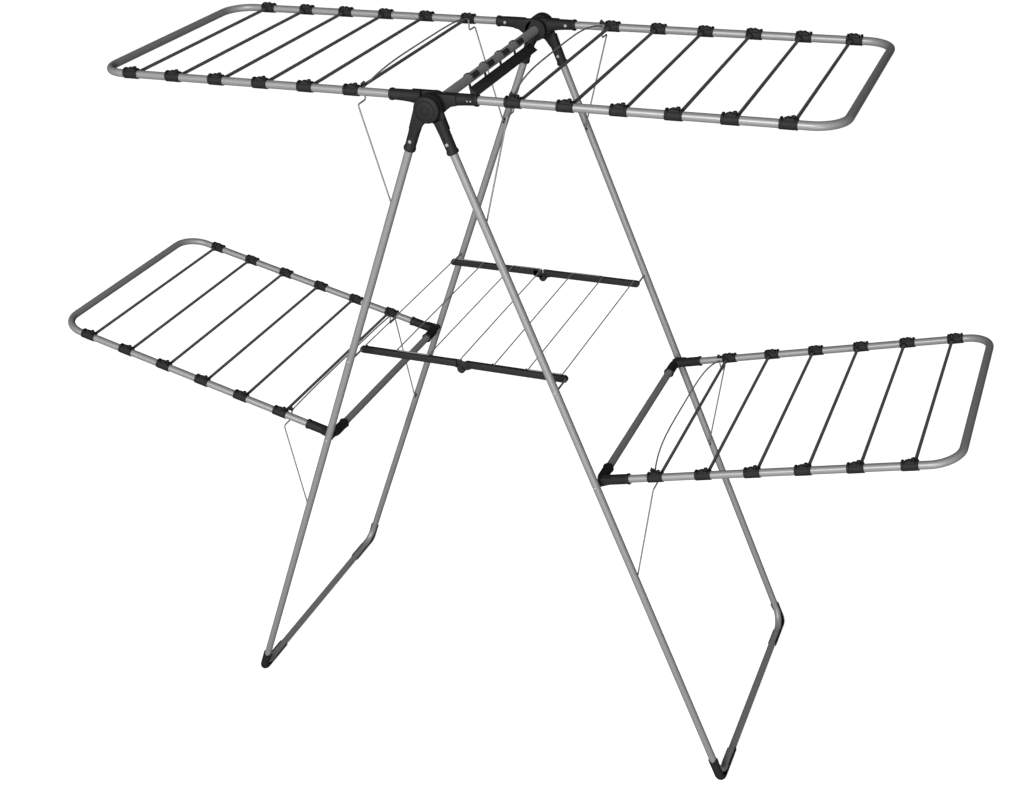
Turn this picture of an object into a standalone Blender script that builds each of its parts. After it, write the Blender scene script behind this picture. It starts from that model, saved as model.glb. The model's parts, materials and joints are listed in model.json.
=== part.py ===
"""A folding clothes drying rack: crossed leg frames, four hinged hanging wings and a laced middle shelf.

Metres, +Z up. The rack stands open on z = 0, centred on the origin. X runs along the open rack
and Y across it, from the near hub at -Y to the far hub at +Y.
"""

from math import cos, pi, radians, sin, tan

import bmesh
import bpy
from mathutils import Matrix, Vector

# Overall sizes.
HUB_Z = 1.337
RAIL_Y = 0.234
LEG_ANGLE = radians(21.06)
UPPER_REACH = 0.678
LOWER_REACH = 0.6415
LOWER_SLOPE = radians(13.9)
LOWER_PIVOT_Z = 0.646
SHELF_Z = 0.832

# Tubes, bars and wires.
TUBE_R = 0.00725
BAR_R = 0.003
WIRE_R = 0.0015
CORD_R = 0.0012
LEG_BEND = 0.040
WING_BEND = 0.050
BEND_STEPS = 6
ROUND_RESOLUTION = 4
WIRE_RESOLUTION = 2
ROUND_SIDES = 4 + 2 * ROUND_RESOLUTION
CLIP_SIDES = 8

# Clearances.
FIT_GAP = 0.0003
HUB_GAP = 0.0006
PIN_GAP = 0.0002
HOOK_GAP = 0.0005
STAY_LANE = 0.013

# Hubs and the sockets that leave them.
HUB_R = 0.0235
HUB_SIDES = 24
KNUCKLE_R = 0.021
KNUCKLE_SIDES = 20
KNUCKLE_T = 0.011
DISC_T = 0.0122
PIN_R = 0.004
AXIS_OFFSET = 0.0116
SOCKET_WALL = 0.0017
COLLAR_LIP = 0.0013
COLLAR_LENGTH = 0.008
LEG_SOCKET_END = 0.0844
WING_SOCKET_END = 0.0815
SOCKET_GRIP = 0.036
WEB_HEIGHT = 0.017
WEB_START = 0.012
SLEEVE_STANDOFF = 0.002

# Centre rail and the hanger strip under it.
CENTRE_RAIL_R = 0.0085
RING_WALL = 0.002
RING_LENGTH = 0.028
RING_PLACES = (-0.080, -0.011, 0.060, 0.129)
STRIP_WIDTH = 0.020
STRIP_T = 0.003
STRIP_TILT = radians(42)
STRIP_ENDS = (-0.092, 0.192)
STRIP_DROP = 0.007
STRIP_EDGE_X = 0.001
STRIP_WEB_X = (-0.002, 0.006)
TAB_DROP = 0.041

# Rungs and their clips.
RUNG_PITCH = 0.0905
RUNG_COUNT = 6
UPPER_FIRST = 0.149
LOWER_FIRST = 0.1147
CLIP_LENGTH = 0.029
CLIP_WALL = 0.0022
CLIP_SHIFT = 0.006
BAR_BITE = 0.003

# Lower wing corners.
LOWER_OUTSET = 0.0035
ELBOW_OUT = 0.052
ELBOW_IN = 0.045
ELBOW_BEND = 0.012
ELBOW_STOP = 0.016
ELBOW_COLLAR = 0.004
BOSS_R = 0.006

# Wire stays.
UPPER_HOOK_Z = 1.140
LOWER_HOOK_Z = 0.455
STAY_SIDE = 0.0115
STAY_DROP = 0.0063
STAY_INSIDE = 0.00525
STAY_BESIDE_LEG = 0.00475
STAY_RISE = 0.022
STAY_LEAN = 0.008
STAY_SHOULDER = 0.004
STAY_ARC_STEPS = 12

# Folding shelf.
SHELF_INSET = 0.024
SHELF_BAR_T = 0.009
SHELF_BAR_H = 0.013
SHELF_END_LAP = 0.004
SHELF_PIN_R = 0.004
KNEE_DROP = 0.0105
KNEE_R = 0.008
KNEE_PIN_R = 0.003
KNEE_CLEAR = 0.009
KNEE_WEB = 0.020
KNEE_GAP = 0.0008
CORD_PITCH = 0.0667
CORDS_EACH_SIDE = 3
KNEE_CORD_X = -0.002

# Feet.
FOOT_WALL = 0.0019
FOOT_LEG_REACH = 0.045
FOOT_FLOOR_REACH = 0.085
FOOT_BEND = 0.014
FOOT_FLAT = 0.0008
FOOT_MOUTH = 0.0030
FLOOR_CUT = 0.4
CUT_OVER = 0.02

WELD = 1e-6
SMOOTH_ANGLE = radians(40)
PIVOT_MARK = 0.03

# Sizes that follow from the ones above.
LEG_Y = RAIL_Y + 2 * TUBE_R + STAY_LANE
LOWER_Y = RAIL_Y + LOWER_OUTSET
BORE_R = (TUBE_R + FIT_GAP) / cos(pi / ROUND_SIDES)
SLEEVE_R = BORE_R + SOCKET_WALL
COLLAR_R = SLEEVE_R + COLLAR_LIP
CLIP_BORE_R = (TUBE_R + FIT_GAP) / cos(pi / CLIP_SIDES)
CLIP_R = CLIP_BORE_R + CLIP_WALL
STAY_Y = LEG_Y - TUBE_R - STAY_BESIDE_LEG
STAY_IN_Y = RAIL_Y - TUBE_R - STAY_INSIDE
STAY_BELOW = CLIP_R + WIRE_R + STAY_DROP
LEG_INNER_Y = LEG_Y - TUBE_R
FOOT_R = BORE_R + FOOT_WALL
FLOOR_AXIS_Z = FOOT_R - FOOT_FLAT
RAIL_Z = HUB_Z + AXIS_OFFSET
SHELF_Y = RAIL_Y - SHELF_INSET
KNEE_Z = SHELF_Z - KNEE_DROP
CORD_Z = SHELF_Z + SHELF_BAR_H / 2 + CORD_R + FIT_GAP
KNUCKLES = {
    "left": (RAIL_Y - HUB_GAP / 2 - KNUCKLE_T, RAIL_Y - HUB_GAP / 2),
    "right": (RAIL_Y + HUB_GAP / 2, RAIL_Y + HUB_GAP / 2 + KNUCKLE_T),
}
DISCS = {
    "left": (LEG_Y + HUB_GAP / 2, LEG_Y + HUB_GAP / 2 + DISC_T),
    "right": (KNUCKLES["right"][1] + HUB_GAP, LEG_Y - HUB_GAP / 2),
}
PIN_END_Y = KNUCKLES["left"][0] - HUB_GAP
RAIL_END_Y = PIN_END_Y - FIT_GAP
PIN_HOLE_R = (PIN_R + PIN_GAP) / cos(pi / ROUND_SIDES)

SIDES = {"left": -1, "right": 1}
ENDS = {"near": -1, "far": 1}

# Colour, roughness and metallic value of each material.
FINISHES = {
    "tube_steel": ((0.42, 0.42, 0.43), 0.34, 0.9),
    "bar_steel": ((0.20, 0.20, 0.21), 0.42, 0.9),
    "wire_steel": ((0.36, 0.36, 0.37), 0.32, 0.9),
    "rail_steel": ((0.50, 0.50, 0.51), 0.30, 0.9),
    "black_plastic": ((0.012, 0.012, 0.013), 0.42, 0.0),
    "shelf_plastic": ((0.018, 0.018, 0.018), 0.62, 0.0),
    "strip_plastic": ((0.045, 0.045, 0.047), 0.75, 0.0),
    "shelf_cord": ((0.30, 0.30, 0.30), 0.80, 0.0),
}


def clear_scene():
    for obj in list(bpy.data.objects):
        bpy.data.objects.remove(obj, do_unlink=True)


def new_collection(name):
    collection = bpy.data.collections.new(name)
    bpy.context.scene.collection.children.link(collection)
    return collection


def new_material(name):
    colour, roughness, metallic = FINISHES[name]
    material = bpy.data.materials.new(name)
    material.use_nodes = True
    shader = material.node_tree.nodes["Principled BSDF"]
    shader.inputs["Base Color"].default_value = (*colour, 1.0)
    shader.inputs["Roughness"].default_value = roughness
    shader.inputs["Metallic"].default_value = metallic
    material.diffuse_color = (*colour, 1.0)
    return material


clear_scene()
RACK = new_collection("clothes_drying_rack")
WORKSHOP = new_collection("workshop")
MATERIALS = {name: new_material(name) for name in FINISHES}
PIVOTS = {}


# ---------------------------------------------------------------- solids


def solid_of(obj):
    """The object as Blender evaluates it, as a new welded mesh object. The old one is removed."""
    bpy.context.view_layer.update()
    graph = bpy.context.evaluated_depsgraph_get()
    mesh = bpy.data.meshes.new_from_object(obj.evaluated_get(graph))
    mesh.materials.clear()
    form = bmesh.new()
    form.from_mesh(mesh)
    bmesh.ops.remove_doubles(form, verts=form.verts, dist=WELD)
    bmesh.ops.recalc_face_normals(form, faces=form.faces)
    form.to_mesh(mesh)
    form.free()
    solid = bpy.data.objects.new("solid", mesh)
    solid.matrix_world = obj.matrix_world
    WORKSHOP.objects.link(solid)
    bpy.data.objects.remove(obj, do_unlink=True)
    return solid


def from_form(form):
    mesh = bpy.data.meshes.new("solid")
    form.to_mesh(mesh)
    form.free()
    solid = bpy.data.objects.new("solid", mesh)
    WORKSHOP.objects.link(solid)
    return solid


def cylinder(start, end, radius, sides=ROUND_SIDES):
    start = Vector(start)
    end = Vector(end)
    axis = end - start
    form = bmesh.new()
    bmesh.ops.create_cone(
        form, cap_ends=True, segments=sides, radius1=radius, radius2=radius, depth=axis.length
    )
    form.transform(axis.to_track_quat("Z", "Y").to_matrix().to_4x4())
    form.transform(Matrix.Translation((start + end) / 2))
    return from_form(form)


def block(centre, size, turn_about_y=0.0):
    form = bmesh.new()
    bmesh.ops.create_cube(form, size=1.0)
    form.transform(Matrix.Diagonal((*size, 1.0)))
    form.transform(Matrix.Rotation(turn_about_y, 4, "Y"))
    form.transform(Matrix.Translation(Vector(centre)))
    return from_form(form)


def box(low, high):
    low = Vector(low)
    high = Vector(high)
    size = [abs(value) for value in high - low]
    return block((low + high) / 2, size)


def tube(points, radius, resolution=ROUND_RESOLUTION):
    curve = bpy.data.curves.new("tube", "CURVE")
    curve.dimensions = "3D"
    curve.bevel_depth = radius
    curve.bevel_resolution = resolution
    curve.use_fill_caps = True
    spline = curve.splines.new("POLY")
    spline.points.add(len(points) - 1)
    for point, place in zip(spline.points, points):
        point.co = (*place, 1.0)
    obj = bpy.data.objects.new("tube", curve)
    WORKSHOP.objects.link(obj)
    return solid_of(obj)


def combined(base, joined=(), cut=()):
    """The base with the joined solids added and the cutters taken away."""
    for operation, helpers in (("UNION", joined), ("DIFFERENCE", cut)):
        for helper in helpers:
            modifier = base.modifiers.new(operation.lower(), "BOOLEAN")
            modifier.operation = operation
            modifier.solver = "EXACT"
            modifier.object = helper
    result = solid_of(base)
    for helper in (*joined, *cut):
        bpy.data.objects.remove(helper, do_unlink=True)
    return result


def rounded(points, radius, steps=BEND_STEPS):
    """The polyline with each inner corner turned into an arc."""
    points = [Vector(point) for point in points]
    path = [points[0]]
    for before, corner, after in zip(points, points[1:], points[2:]):
        back = (before - corner).normalized()
        ahead = (after - corner).normalized()
        half = back.angle(ahead) / 2
        centre = corner + (back + ahead).normalized() * radius / sin(half)
        spoke = corner + back * radius / tan(half) - centre
        axis = spoke.cross(corner + ahead * radius / tan(half) - centre)
        for step in range(steps + 1):
            turn = Matrix.Rotation((pi - 2 * half) * step / steps, 3, axis)
            path.append(centre + turn @ spoke)
    path.append(points[-1])
    return path


# ---------------------------------------------------------------- places


def leg_point(side, along, y=0.0):
    """A point on a leg's line. along runs down the leg from beside the hub's centre."""
    x = AXIS_OFFSET * cos(LEG_ANGLE) + along * sin(LEG_ANGLE)
    z = HUB_Z + AXIS_OFFSET * sin(LEG_ANGLE) - along * cos(LEG_ANGLE)
    return Vector((SIDES[side] * x, y, z))


def leg_at(side, z, y=0.0):
    """The point of a leg's line at height z."""
    along = (HUB_Z + AXIS_OFFSET * sin(LEG_ANGLE) - z) / cos(LEG_ANGLE)
    return leg_point(side, along, y)


def leg_corner_path(side, end, reach, inset, bend):
    """The way round a leg frame's bottom corner, moved in by inset towards the frame's inside."""
    up = (leg_point(side, 0.0) - leg_point(side, 1.0)).normalized()
    inward = Vector((0.0, -ENDS[end], 0.0))
    corner = leg_at(side, FLOOR_AXIS_Z, ENDS[end] * LEG_Y) + (up + inward) * inset
    return rounded([corner + up * reach, corner, corner + inward * reach], bend)


def upper_point(side, out, y=0.0, up=0.0):
    """A point of an upper wing: out from the hub's centre, up from the rail's axis."""
    return Vector((SIDES[side] * out, y, RAIL_Z + up))


def lower_point(side, out, y=0.0, up=0.0):
    """A point of a lower wing: out along its slope from its pivot, up square to it."""
    pivot = leg_at("right", LOWER_PIVOT_Z)
    x = pivot.x + out * cos(LOWER_SLOPE) - up * sin(LOWER_SLOPE)
    z = pivot.z + out * sin(LOWER_SLOPE) + up * cos(LOWER_SLOPE)
    return Vector((SIDES[side] * x, y, z))


# Each level's way to place a point, its rails' distance from the middle, first rung and reach.
WINGS = {
    "upper": (upper_point, RAIL_Y, UPPER_FIRST, UPPER_REACH),
    "lower": (lower_point, LOWER_Y, LOWER_FIRST, LOWER_REACH),
}


def stay_axis(level, side):
    """The point on the middle plane that a stay's hinge axis passes through."""
    place, _, first, _ = WINGS[level]
    return place(side, first - STAY_SIDE, 0.0, -STAY_BELOW)


# ---------------------------------------------------------------- nodes and bodies


def add_pivot(name, place, parent=None):
    """An empty on a body's joint axis. The body's nodes are its children."""
    empty = bpy.data.objects.new(f"pivot_{name}", None)
    empty.empty_display_size = PIVOT_MARK
    RACK.objects.link(empty)
    if parent:
        empty.parent = PIVOTS[parent][0]
        empty.location = Vector(place) - PIVOTS[parent][1]
    else:
        empty.location = place
    PIVOTS[name] = (empty, Vector(place))


def add_node(name, mesh, body, slot, origin, tilt=0.0):
    node = bpy.data.objects.new(name, mesh)
    RACK.objects.link(node)
    node.parent = PIVOTS[body][0]
    node.location = Vector(origin) - PIVOTS[body][1]
    node.rotation_euler = (0.0, tilt, 0.0)
    if not mesh.materials:
        mesh.materials.append(MATERIALS[slot])


def add_solid(name, solid, body, slot):
    """Turns a finished solid into a node whose origin is its body's pivot."""
    mesh = solid.data
    mesh.transform(Matrix.Translation(-PIVOTS[body][1]))
    mesh.shade_smooth()
    mesh.set_sharp_from_angle(angle=SMOOTH_ANGLE)
    bpy.data.objects.remove(solid, do_unlink=True)
    add_node(name, mesh, body, slot, PIVOTS[body][1])


def add_pivots():
    hub = (0.0, 0.0, HUB_Z)
    knee = (0.0, 0.0, KNEE_Z)
    add_pivot("frame_left", hub)
    add_pivot("frame_right", hub, "frame_left")
    for side in SIDES:
        add_pivot(f"wing_upper_{side}", hub, "frame_left")
        add_pivot(f"wing_lower_{side}", lower_point(side, 0.0), f"frame_{side}")
        for level in WINGS:
            add_pivot(f"stay_{level}_{side}", stay_axis(level, side), f"wing_{level}_{side}")
    add_pivot("shelf_left", leg_at("left", SHELF_Z), "frame_left")
    add_pivot("shelf_right", knee, "shelf_left")


# ---------------------------------------------------------------- leg frames and feet


def add_leg_frame(side):
    start = LEG_SOCKET_END - SOCKET_GRIP
    path = [
        leg_point(side, start, -LEG_Y),
        leg_at(side, FLOOR_AXIS_Z, -LEG_Y),
        leg_at(side, FLOOR_AXIS_Z, LEG_Y),
        leg_point(side, start, LEG_Y),
    ]
    frame = tube(rounded(path, LEG_BEND), TUBE_R)
    add_solid(f"leg_frame_{side}", frame, f"frame_{side}", "tube_steel")


def add_foot(side, end):
    """A channel round the outside of the bend, open towards its inside, with a flat underside."""
    sign = ENDS[end]
    up = (leg_point(side, 0.0) - leg_point(side, 1.0)).normalized()
    inward = Vector((0.0, -sign, 0.0))
    corner = leg_at(side, FLOOR_AXIS_Z, sign * LEG_Y)
    ends = [corner + up * FOOT_LEG_REACH, corner, corner + inward * FOOT_FLOOR_REACH]
    shell = tube(rounded(ends, FOOT_BEND), FOOT_R)
    over = FOOT_FLOOR_REACH + CUT_OVER
    bore = tube(leg_corner_path(side, end, over, 0.0, LEG_BEND), BORE_R)
    mouth_middle = corner + (up + inward) * (FOOT_MOUTH + over / 2)
    mouth = block(mouth_middle, (2 * FOOT_R + CUT_OVER, over, over), -SIDES[side] * LEG_ANGLE)
    floor = block((corner.x, corner.y, -CUT_OVER / 2), (FLOOR_CUT, FLOOR_CUT, CUT_OVER))
    foot = combined(shell, cut=(mouth, floor, bore))
    add_solid(f"foot_{side}_{end}", foot, f"frame_{side}", "black_plastic")


# ---------------------------------------------------------------- hubs


def add_leg_socket(side, end):
    """The hub disc with its leg socket. The left ones carry the pivot pin through the stack."""
    sign = ENDS[end]
    low, high = DISCS[side]
    hub = Vector((0.0, 0.0, HUB_Z))
    inner_face = hub + Vector((0, sign * low, 0))
    disc = cylinder(inner_face, hub + Vector((0, sign * high, 0)), HUB_R, HUB_SIDES)
    start = HUB_R + SLEEVE_STANDOFF
    leg = sign * LEG_Y
    sleeve_end = LEG_SOCKET_END - COLLAR_LENGTH / 2
    sleeve = cylinder(leg_point(side, start, leg), leg_point(side, sleeve_end, leg), SLEEVE_R)
    collar_start = leg_point(side, LEG_SOCKET_END - COLLAR_LENGTH, leg)
    collar = cylinder(collar_start, leg_point(side, LEG_SOCKET_END, leg), COLLAR_R)
    web_end = start + COLLAR_LENGTH
    web_middle = leg_point(side, (WEB_START + web_end) / 2, sign * (low + high) / 2)
    web_size = (WEB_HEIGHT, high - low, web_end - WEB_START)
    web = block(web_middle, web_size, -SIDES[side] * LEG_ANGLE)
    bore_start = leg_point(side, LEG_SOCKET_END - SOCKET_GRIP - FIT_GAP, leg)
    bore = cylinder(bore_start, leg_point(side, LEG_SOCKET_END + CUT_OVER, leg), BORE_R)
    joined = [sleeve, collar, web]
    cutters = [bore]
    inner = hub + Vector((0, sign * PIN_END_Y, 0))
    if side == "left":
        joined.append(cylinder(inner, hub + Vector((0, sign * (low + HUB_GAP), 0)), PIN_R))
    else:
        outer = hub + Vector((0, sign * (high + CUT_OVER), 0))
        cutters.append(cylinder(inner, outer, PIN_HOLE_R))
    socket = combined(disc, joined, cutters)
    add_solid(f"leg_socket_{side}_{end}", socket, f"frame_{side}", "black_plastic")


def add_wing_arm(side, end):
    """The knuckle round the hub pin with the socket for an upper wing's rail."""
    sign = ENDS[end]
    low, high = KNUCKLES[side]
    hub = Vector((0.0, 0.0, HUB_Z))
    knuckle = cylinder(
        hub + Vector((0, sign * low, 0)), hub + Vector((0, sign * high, 0)), KNUCKLE_R, KNUCKLE_SIDES
    )
    rail = sign * RAIL_Y
    start = KNUCKLE_R + SLEEVE_STANDOFF
    sleeve_end = WING_SOCKET_END - COLLAR_LENGTH / 2
    sleeve = cylinder(upper_point(side, start, rail), upper_point(side, sleeve_end, rail), SLEEVE_R)
    collar_start = upper_point(side, WING_SOCKET_END - COLLAR_LENGTH, rail)
    collar = cylinder(collar_start, upper_point(side, WING_SOCKET_END, rail), COLLAR_R)
    web_end = start + COLLAR_LENGTH
    web_middle = upper_point(side, (WEB_START + web_end) / 2, sign * (low + high) / 2)
    web = block(web_middle, (web_end - WEB_START, high - low, WEB_HEIGHT))
    bore_start = upper_point(side, WING_SOCKET_END - SOCKET_GRIP - FIT_GAP, rail)
    bore = cylinder(bore_start, upper_point(side, WING_SOCKET_END + CUT_OVER, rail), BORE_R)
    inner = hub + Vector((0, sign * (low - CUT_OVER), 0))
    hole = cylinder(inner, hub + Vector((0, sign * (high + CUT_OVER), 0)), PIN_HOLE_R)
    arm = combined(knuckle, (sleeve, collar, web), (bore, hole))
    add_solid(f"wing_arm_{side}_{end}", arm, f"wing_upper_{side}", "black_plastic")


def add_centre_rail():
    rail = cylinder((0, -RAIL_END_Y, HUB_Z), (0, RAIL_END_Y, HUB_Z), CENTRE_RAIL_R)
    add_solid("centre_rail", rail, "frame_left", "rail_steel")


def add_hanger_strip():
    """Four rings on the centre rail that carry a tilted strip with a turned-down near end."""
    bore_r = (CENTRE_RAIL_R + FIT_GAP) / cos(pi / ROUND_SIDES)
    ring_r = bore_r + RING_WALL
    low_y, high_y = STRIP_ENDS
    across = Vector((cos(STRIP_TILT), 0.0, -sin(STRIP_TILT)))
    top_edge = Vector((STRIP_EDGE_X, 0.0, HUB_Z - ring_r - STRIP_DROP))
    middle = top_edge + across * STRIP_WIDTH / 2
    middle.y = (low_y + high_y) / 2
    strip = block(middle, (STRIP_WIDTH, high_y - low_y, STRIP_T), STRIP_TILT)
    tab_low = (top_edge.x, low_y, HUB_Z - TAB_DROP)
    tab_high = (top_edge.x + STRIP_WIDTH * cos(STRIP_TILT), low_y + STRIP_T, top_edge.z - STRIP_T)
    joined = [box(tab_low, tab_high)]
    web_low_x, web_high_x = STRIP_WEB_X
    for place in RING_PLACES:
        low = place - RING_LENGTH / 2
        high = place + RING_LENGTH / 2
        joined.append(cylinder((0, low, HUB_Z), (0, high, HUB_Z), ring_r))
        web_top = HUB_Z - bore_r - RING_WALL / 2
        web_low = (web_low_x, low, top_edge.z - 2 * STRIP_T)
        joined.append(box(web_low, (web_high_x, high, web_top)))
    bore = cylinder((0, low_y - CUT_OVER, HUB_Z), (0, high_y + CUT_OVER, HUB_Z), bore_r)
    carrier = combined(strip, joined, (bore,))
    add_solid("hanger_strip", carrier, "frame_left", "strip_plastic")


# ---------------------------------------------------------------- wings


def add_upper_frame(side):
    start = WING_SOCKET_END - SOCKET_GRIP
    path = [
        upper_point(side, start, -RAIL_Y),
        upper_point(side, UPPER_REACH, -RAIL_Y),
        upper_point(side, UPPER_REACH, RAIL_Y),
        upper_point(side, start, RAIL_Y),
    ]
    frame = tube(rounded(path, WING_BEND), TUBE_R)
    add_solid(f"upper_wing_frame_{side}", frame, f"wing_upper_{side}", "tube_steel")


def add_lower_frame(side):
    path = [
        lower_point(side, ELBOW_STOP, -LOWER_Y),
        lower_point(side, LOWER_REACH, -LOWER_Y),
        lower_point(side, LOWER_REACH, LOWER_Y),
        lower_point(side, ELBOW_STOP, LOWER_Y),
    ]
    frame = tube(rounded(path, WING_BEND), TUBE_R)
    add_solid(f"lower_wing_frame_{side}", frame, f"wing_lower_{side}", "tube_steel")
    half = LOWER_Y - ELBOW_STOP
    cross = cylinder(lower_point(side, 0.0, -half), lower_point(side, 0.0, half), TUBE_R)
    add_solid(f"lower_cross_tube_{side}", cross, f"wing_lower_{side}", "tube_steel")


def add_elbow(side, end):
    """The corner that joins a lower rail to the cross tube, with the boss that pivots on the leg."""
    sign = ENDS[end]
    rail = sign * LOWER_Y
    inner = sign * (LOWER_Y - ELBOW_IN)
    out_end = lower_point(side, ELBOW_OUT, rail)
    in_end = lower_point(side, 0.0, inner)
    sleeve_path = [
        lower_point(side, ELBOW_OUT - ELBOW_COLLAR / 2, rail),
        lower_point(side, 0.0, rail),
        lower_point(side, 0.0, inner + sign * ELBOW_COLLAR / 2),
    ]
    elbow = tube(rounded(sleeve_path, ELBOW_BEND), SLEEVE_R)
    out_collar = cylinder(lower_point(side, ELBOW_OUT - ELBOW_COLLAR, rail), out_end, COLLAR_R)
    in_collar = cylinder(
        lower_point(side, 0.0, inner + sign * ELBOW_COLLAR), in_end, COLLAR_R
    )
    boss_end = lower_point(side, 0.0, sign * (LEG_INNER_Y - FIT_GAP))
    boss = cylinder(lower_point(side, 0.0, rail - sign * BOSS_R), boss_end, BOSS_R)
    stop = ELBOW_STOP - FIT_GAP
    out_bore = cylinder(
        lower_point(side, stop, rail), lower_point(side, ELBOW_OUT + CUT_OVER, rail), BORE_R
    )
    in_bore = cylinder(
        lower_point(side, 0.0, rail - sign * stop),
        lower_point(side, 0.0, inner - sign * CUT_OVER),
        BORE_R,
    )
    elbow = combined(elbow, (out_collar, in_collar, boss), (out_bore, in_bore))
    add_solid(f"wing_elbow_{side}_{end}", elbow, f"wing_lower_{side}", "black_plastic")


def rung_mesh(rail_y):
    """A crossbar with a clip at each end, centred on the origin. Both rungs of a level share it."""
    reach = rail_y - CLIP_BORE_R - (CLIP_R - CLIP_BORE_R) + BAR_BITE
    bar = cylinder((0, -reach, 0), (0, reach, 0), BAR_R, CLIP_SIDES)
    half = CLIP_LENGTH / 2
    clips = []
    bores = []
    for sign in ENDS.values():
        low = sign * CLIP_SHIFT - half
        high = sign * CLIP_SHIFT + half
        clips.append(cylinder((low, sign * rail_y, 0), (high, sign * rail_y, 0), CLIP_R, CLIP_SIDES))
        start = (low - CUT_OVER, sign * rail_y, 0)
        bores.append(cylinder(start, (high + CUT_OVER, sign * rail_y, 0), CLIP_BORE_R, CLIP_SIDES))
    rung = combined(bar, clips, bores)
    mesh = rung.data
    mesh.shade_smooth()
    mesh.set_sharp_from_angle(angle=SMOOTH_ANGLE)
    bpy.data.objects.remove(rung, do_unlink=True)
    return mesh


def add_rungs(level):
    place, rail_y, first, _ = WINGS[level]
    slope = LOWER_SLOPE if level == "lower" else 0.0
    mesh = rung_mesh(rail_y)
    for side, sign in SIDES.items():
        for number in range(RUNG_COUNT):
            origin = place(side, first + number * RUNG_PITCH)
            name = f"rung_{level}_{side}_{number + 1}"
            add_node(name, mesh, f"wing_{level}_{side}", "bar_steel", origin, -sign * slope)


def add_stay(level, side):
    """One wire: up from a hook beside the near leg, over in a low arch, and down to the far one."""
    place, _, first, _ = WINGS[level]
    hook_z = UPPER_HOOK_Z if level == "upper" else LOWER_HOOK_Z
    out = first - STAY_SIDE
    hook = leg_at(side, hook_z)
    half = [
        hook + Vector((0, LEG_INNER_Y - HOOK_GAP, 0)),
        hook + Vector((0, STAY_Y, 0)),
        place(side, out, STAY_Y, -STAY_BELOW),
        place(side, out, STAY_IN_Y, -STAY_BELOW),
    ]
    arch = []
    for step in range(STAY_ARC_STEPS + 1):
        y = STAY_IN_Y * (2 * step / STAY_ARC_STEPS - 1)
        height = 1 - abs(y / STAY_IN_Y) ** 4
        up = STAY_SHOULDER + (STAY_RISE - STAY_SHOULDER) * height
        arch.append(place(side, out - STAY_LEAN * height, y, up))
    near = [Vector((point.x, -point.y, point.z)) for point in half]
    wire = tube(near + arch + half[::-1], WIRE_R, WIRE_RESOLUTION)
    add_solid(f"stay_{level}_{side}", wire, f"stay_{level}_{side}", "wire_steel")


# ---------------------------------------------------------------- middle shelf


def add_shelf_bar(side, end):
    """Half of a folding shelf bar: knee leaf inwards, pivot pin beside the leg outwards."""
    sign = ENDS[end]
    way = SIDES[side]
    inner = SHELF_Y - SHELF_BAR_T / 2
    outer = SHELF_Y + SHELF_BAR_T / 2
    leaves = {"left": (inner, SHELF_Y - KNEE_GAP / 2), "right": (SHELF_Y + KNEE_GAP / 2, outer)}
    leaf = leaves[side]
    pivot = leg_at(side, SHELF_Z)
    low_z = SHELF_Z - SHELF_BAR_H / 2
    high_z = SHELF_Z + SHELF_BAR_H / 2
    far_x = pivot.x + way * SHELF_END_LAP
    bar = box((way * KNEE_CLEAR, sign * inner, low_z), (far_x, sign * outer, high_z))
    web = box((0, sign * leaf[0], KNEE_Z), (way * KNEE_WEB, sign * leaf[1], high_z))
    disc = cylinder((0, sign * leaf[0], KNEE_Z), (0, sign * leaf[1], KNEE_Z), KNEE_R)
    pin_start = pivot + Vector((0, sign * (outer - SHELF_END_LAP), 0))
    pin_end = pivot + Vector((0, sign * (LEG_INNER_Y - FIT_GAP), 0))
    joined = [web, disc, cylinder(pin_start, pin_end, SHELF_PIN_R, CLIP_SIDES)]
    cutters = []
    if side == "left":
        knee_start = (0, sign * (leaf[0] + KNEE_GAP), KNEE_Z)
        joined.append(cylinder(knee_start, (0, sign * outer, KNEE_Z), KNEE_PIN_R))
    else:
        hole_r = (KNEE_PIN_R + PIN_GAP) / cos(pi / ROUND_SIDES)
        hole_start = (0, sign * inner, KNEE_Z)
        cutters.append(cylinder(hole_start, (0, sign * (outer + CUT_OVER), KNEE_Z), hole_r))
    bar = combined(bar, joined, cutters)
    add_solid(f"shelf_bar_{side}_{end}", bar, f"shelf_{side}", "shelf_plastic")


def add_shelf_line(side):
    """One cord laced to and fro between the near and far bars of a shelf half."""
    places = [SIDES[side] * CORD_PITCH * (number + 1) for number in range(CORDS_EACH_SIDE)]
    if side == "left":
        places.insert(0, KNEE_CORD_X)
    path = []
    sign = -1
    for x in places:
        path.append((x, sign * SHELF_Y, CORD_Z))
        path.append((x, -sign * SHELF_Y, CORD_Z))
        sign = -sign
    line = tube(path, CORD_R, WIRE_RESOLUTION)
    add_solid(f"shelf_line_{side}", line, f"shelf_{side}", "shelf_cord")


# ---------------------------------------------------------------- the rack

add_pivots()
add_centre_rail()
add_hanger_strip()
for side_name in SIDES:
    add_leg_frame(side_name)
    add_upper_frame(side_name)
    add_lower_frame(side_name)
    add_shelf_line(side_name)
    for level_name in WINGS:
        add_stay(level_name, side_name)
    for end_name in ENDS:
        add_foot(side_name, end_name)
        add_leg_socket(side_name, end_name)
        add_wing_arm(side_name, end_name)
        add_elbow(side_name, end_name)
        add_shelf_bar(side_name, end_name)
for level_name in WINGS:
    add_rungs(level_name)
bpy.data.collections.remove(WORKSHOP)
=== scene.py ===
"""Detailed pieces, finishes and stage of a folding clothes drying rack, built round its frame."""

import json
from math import cos, pi, radians, sin, tan

import bmesh
import bpy
from bpy.props import FloatProperty, FloatVectorProperty, IntProperty, PointerProperty
from bpy.types import Operator, Panel, PropertyGroup
from mathutils import Matrix, Vector


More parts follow.
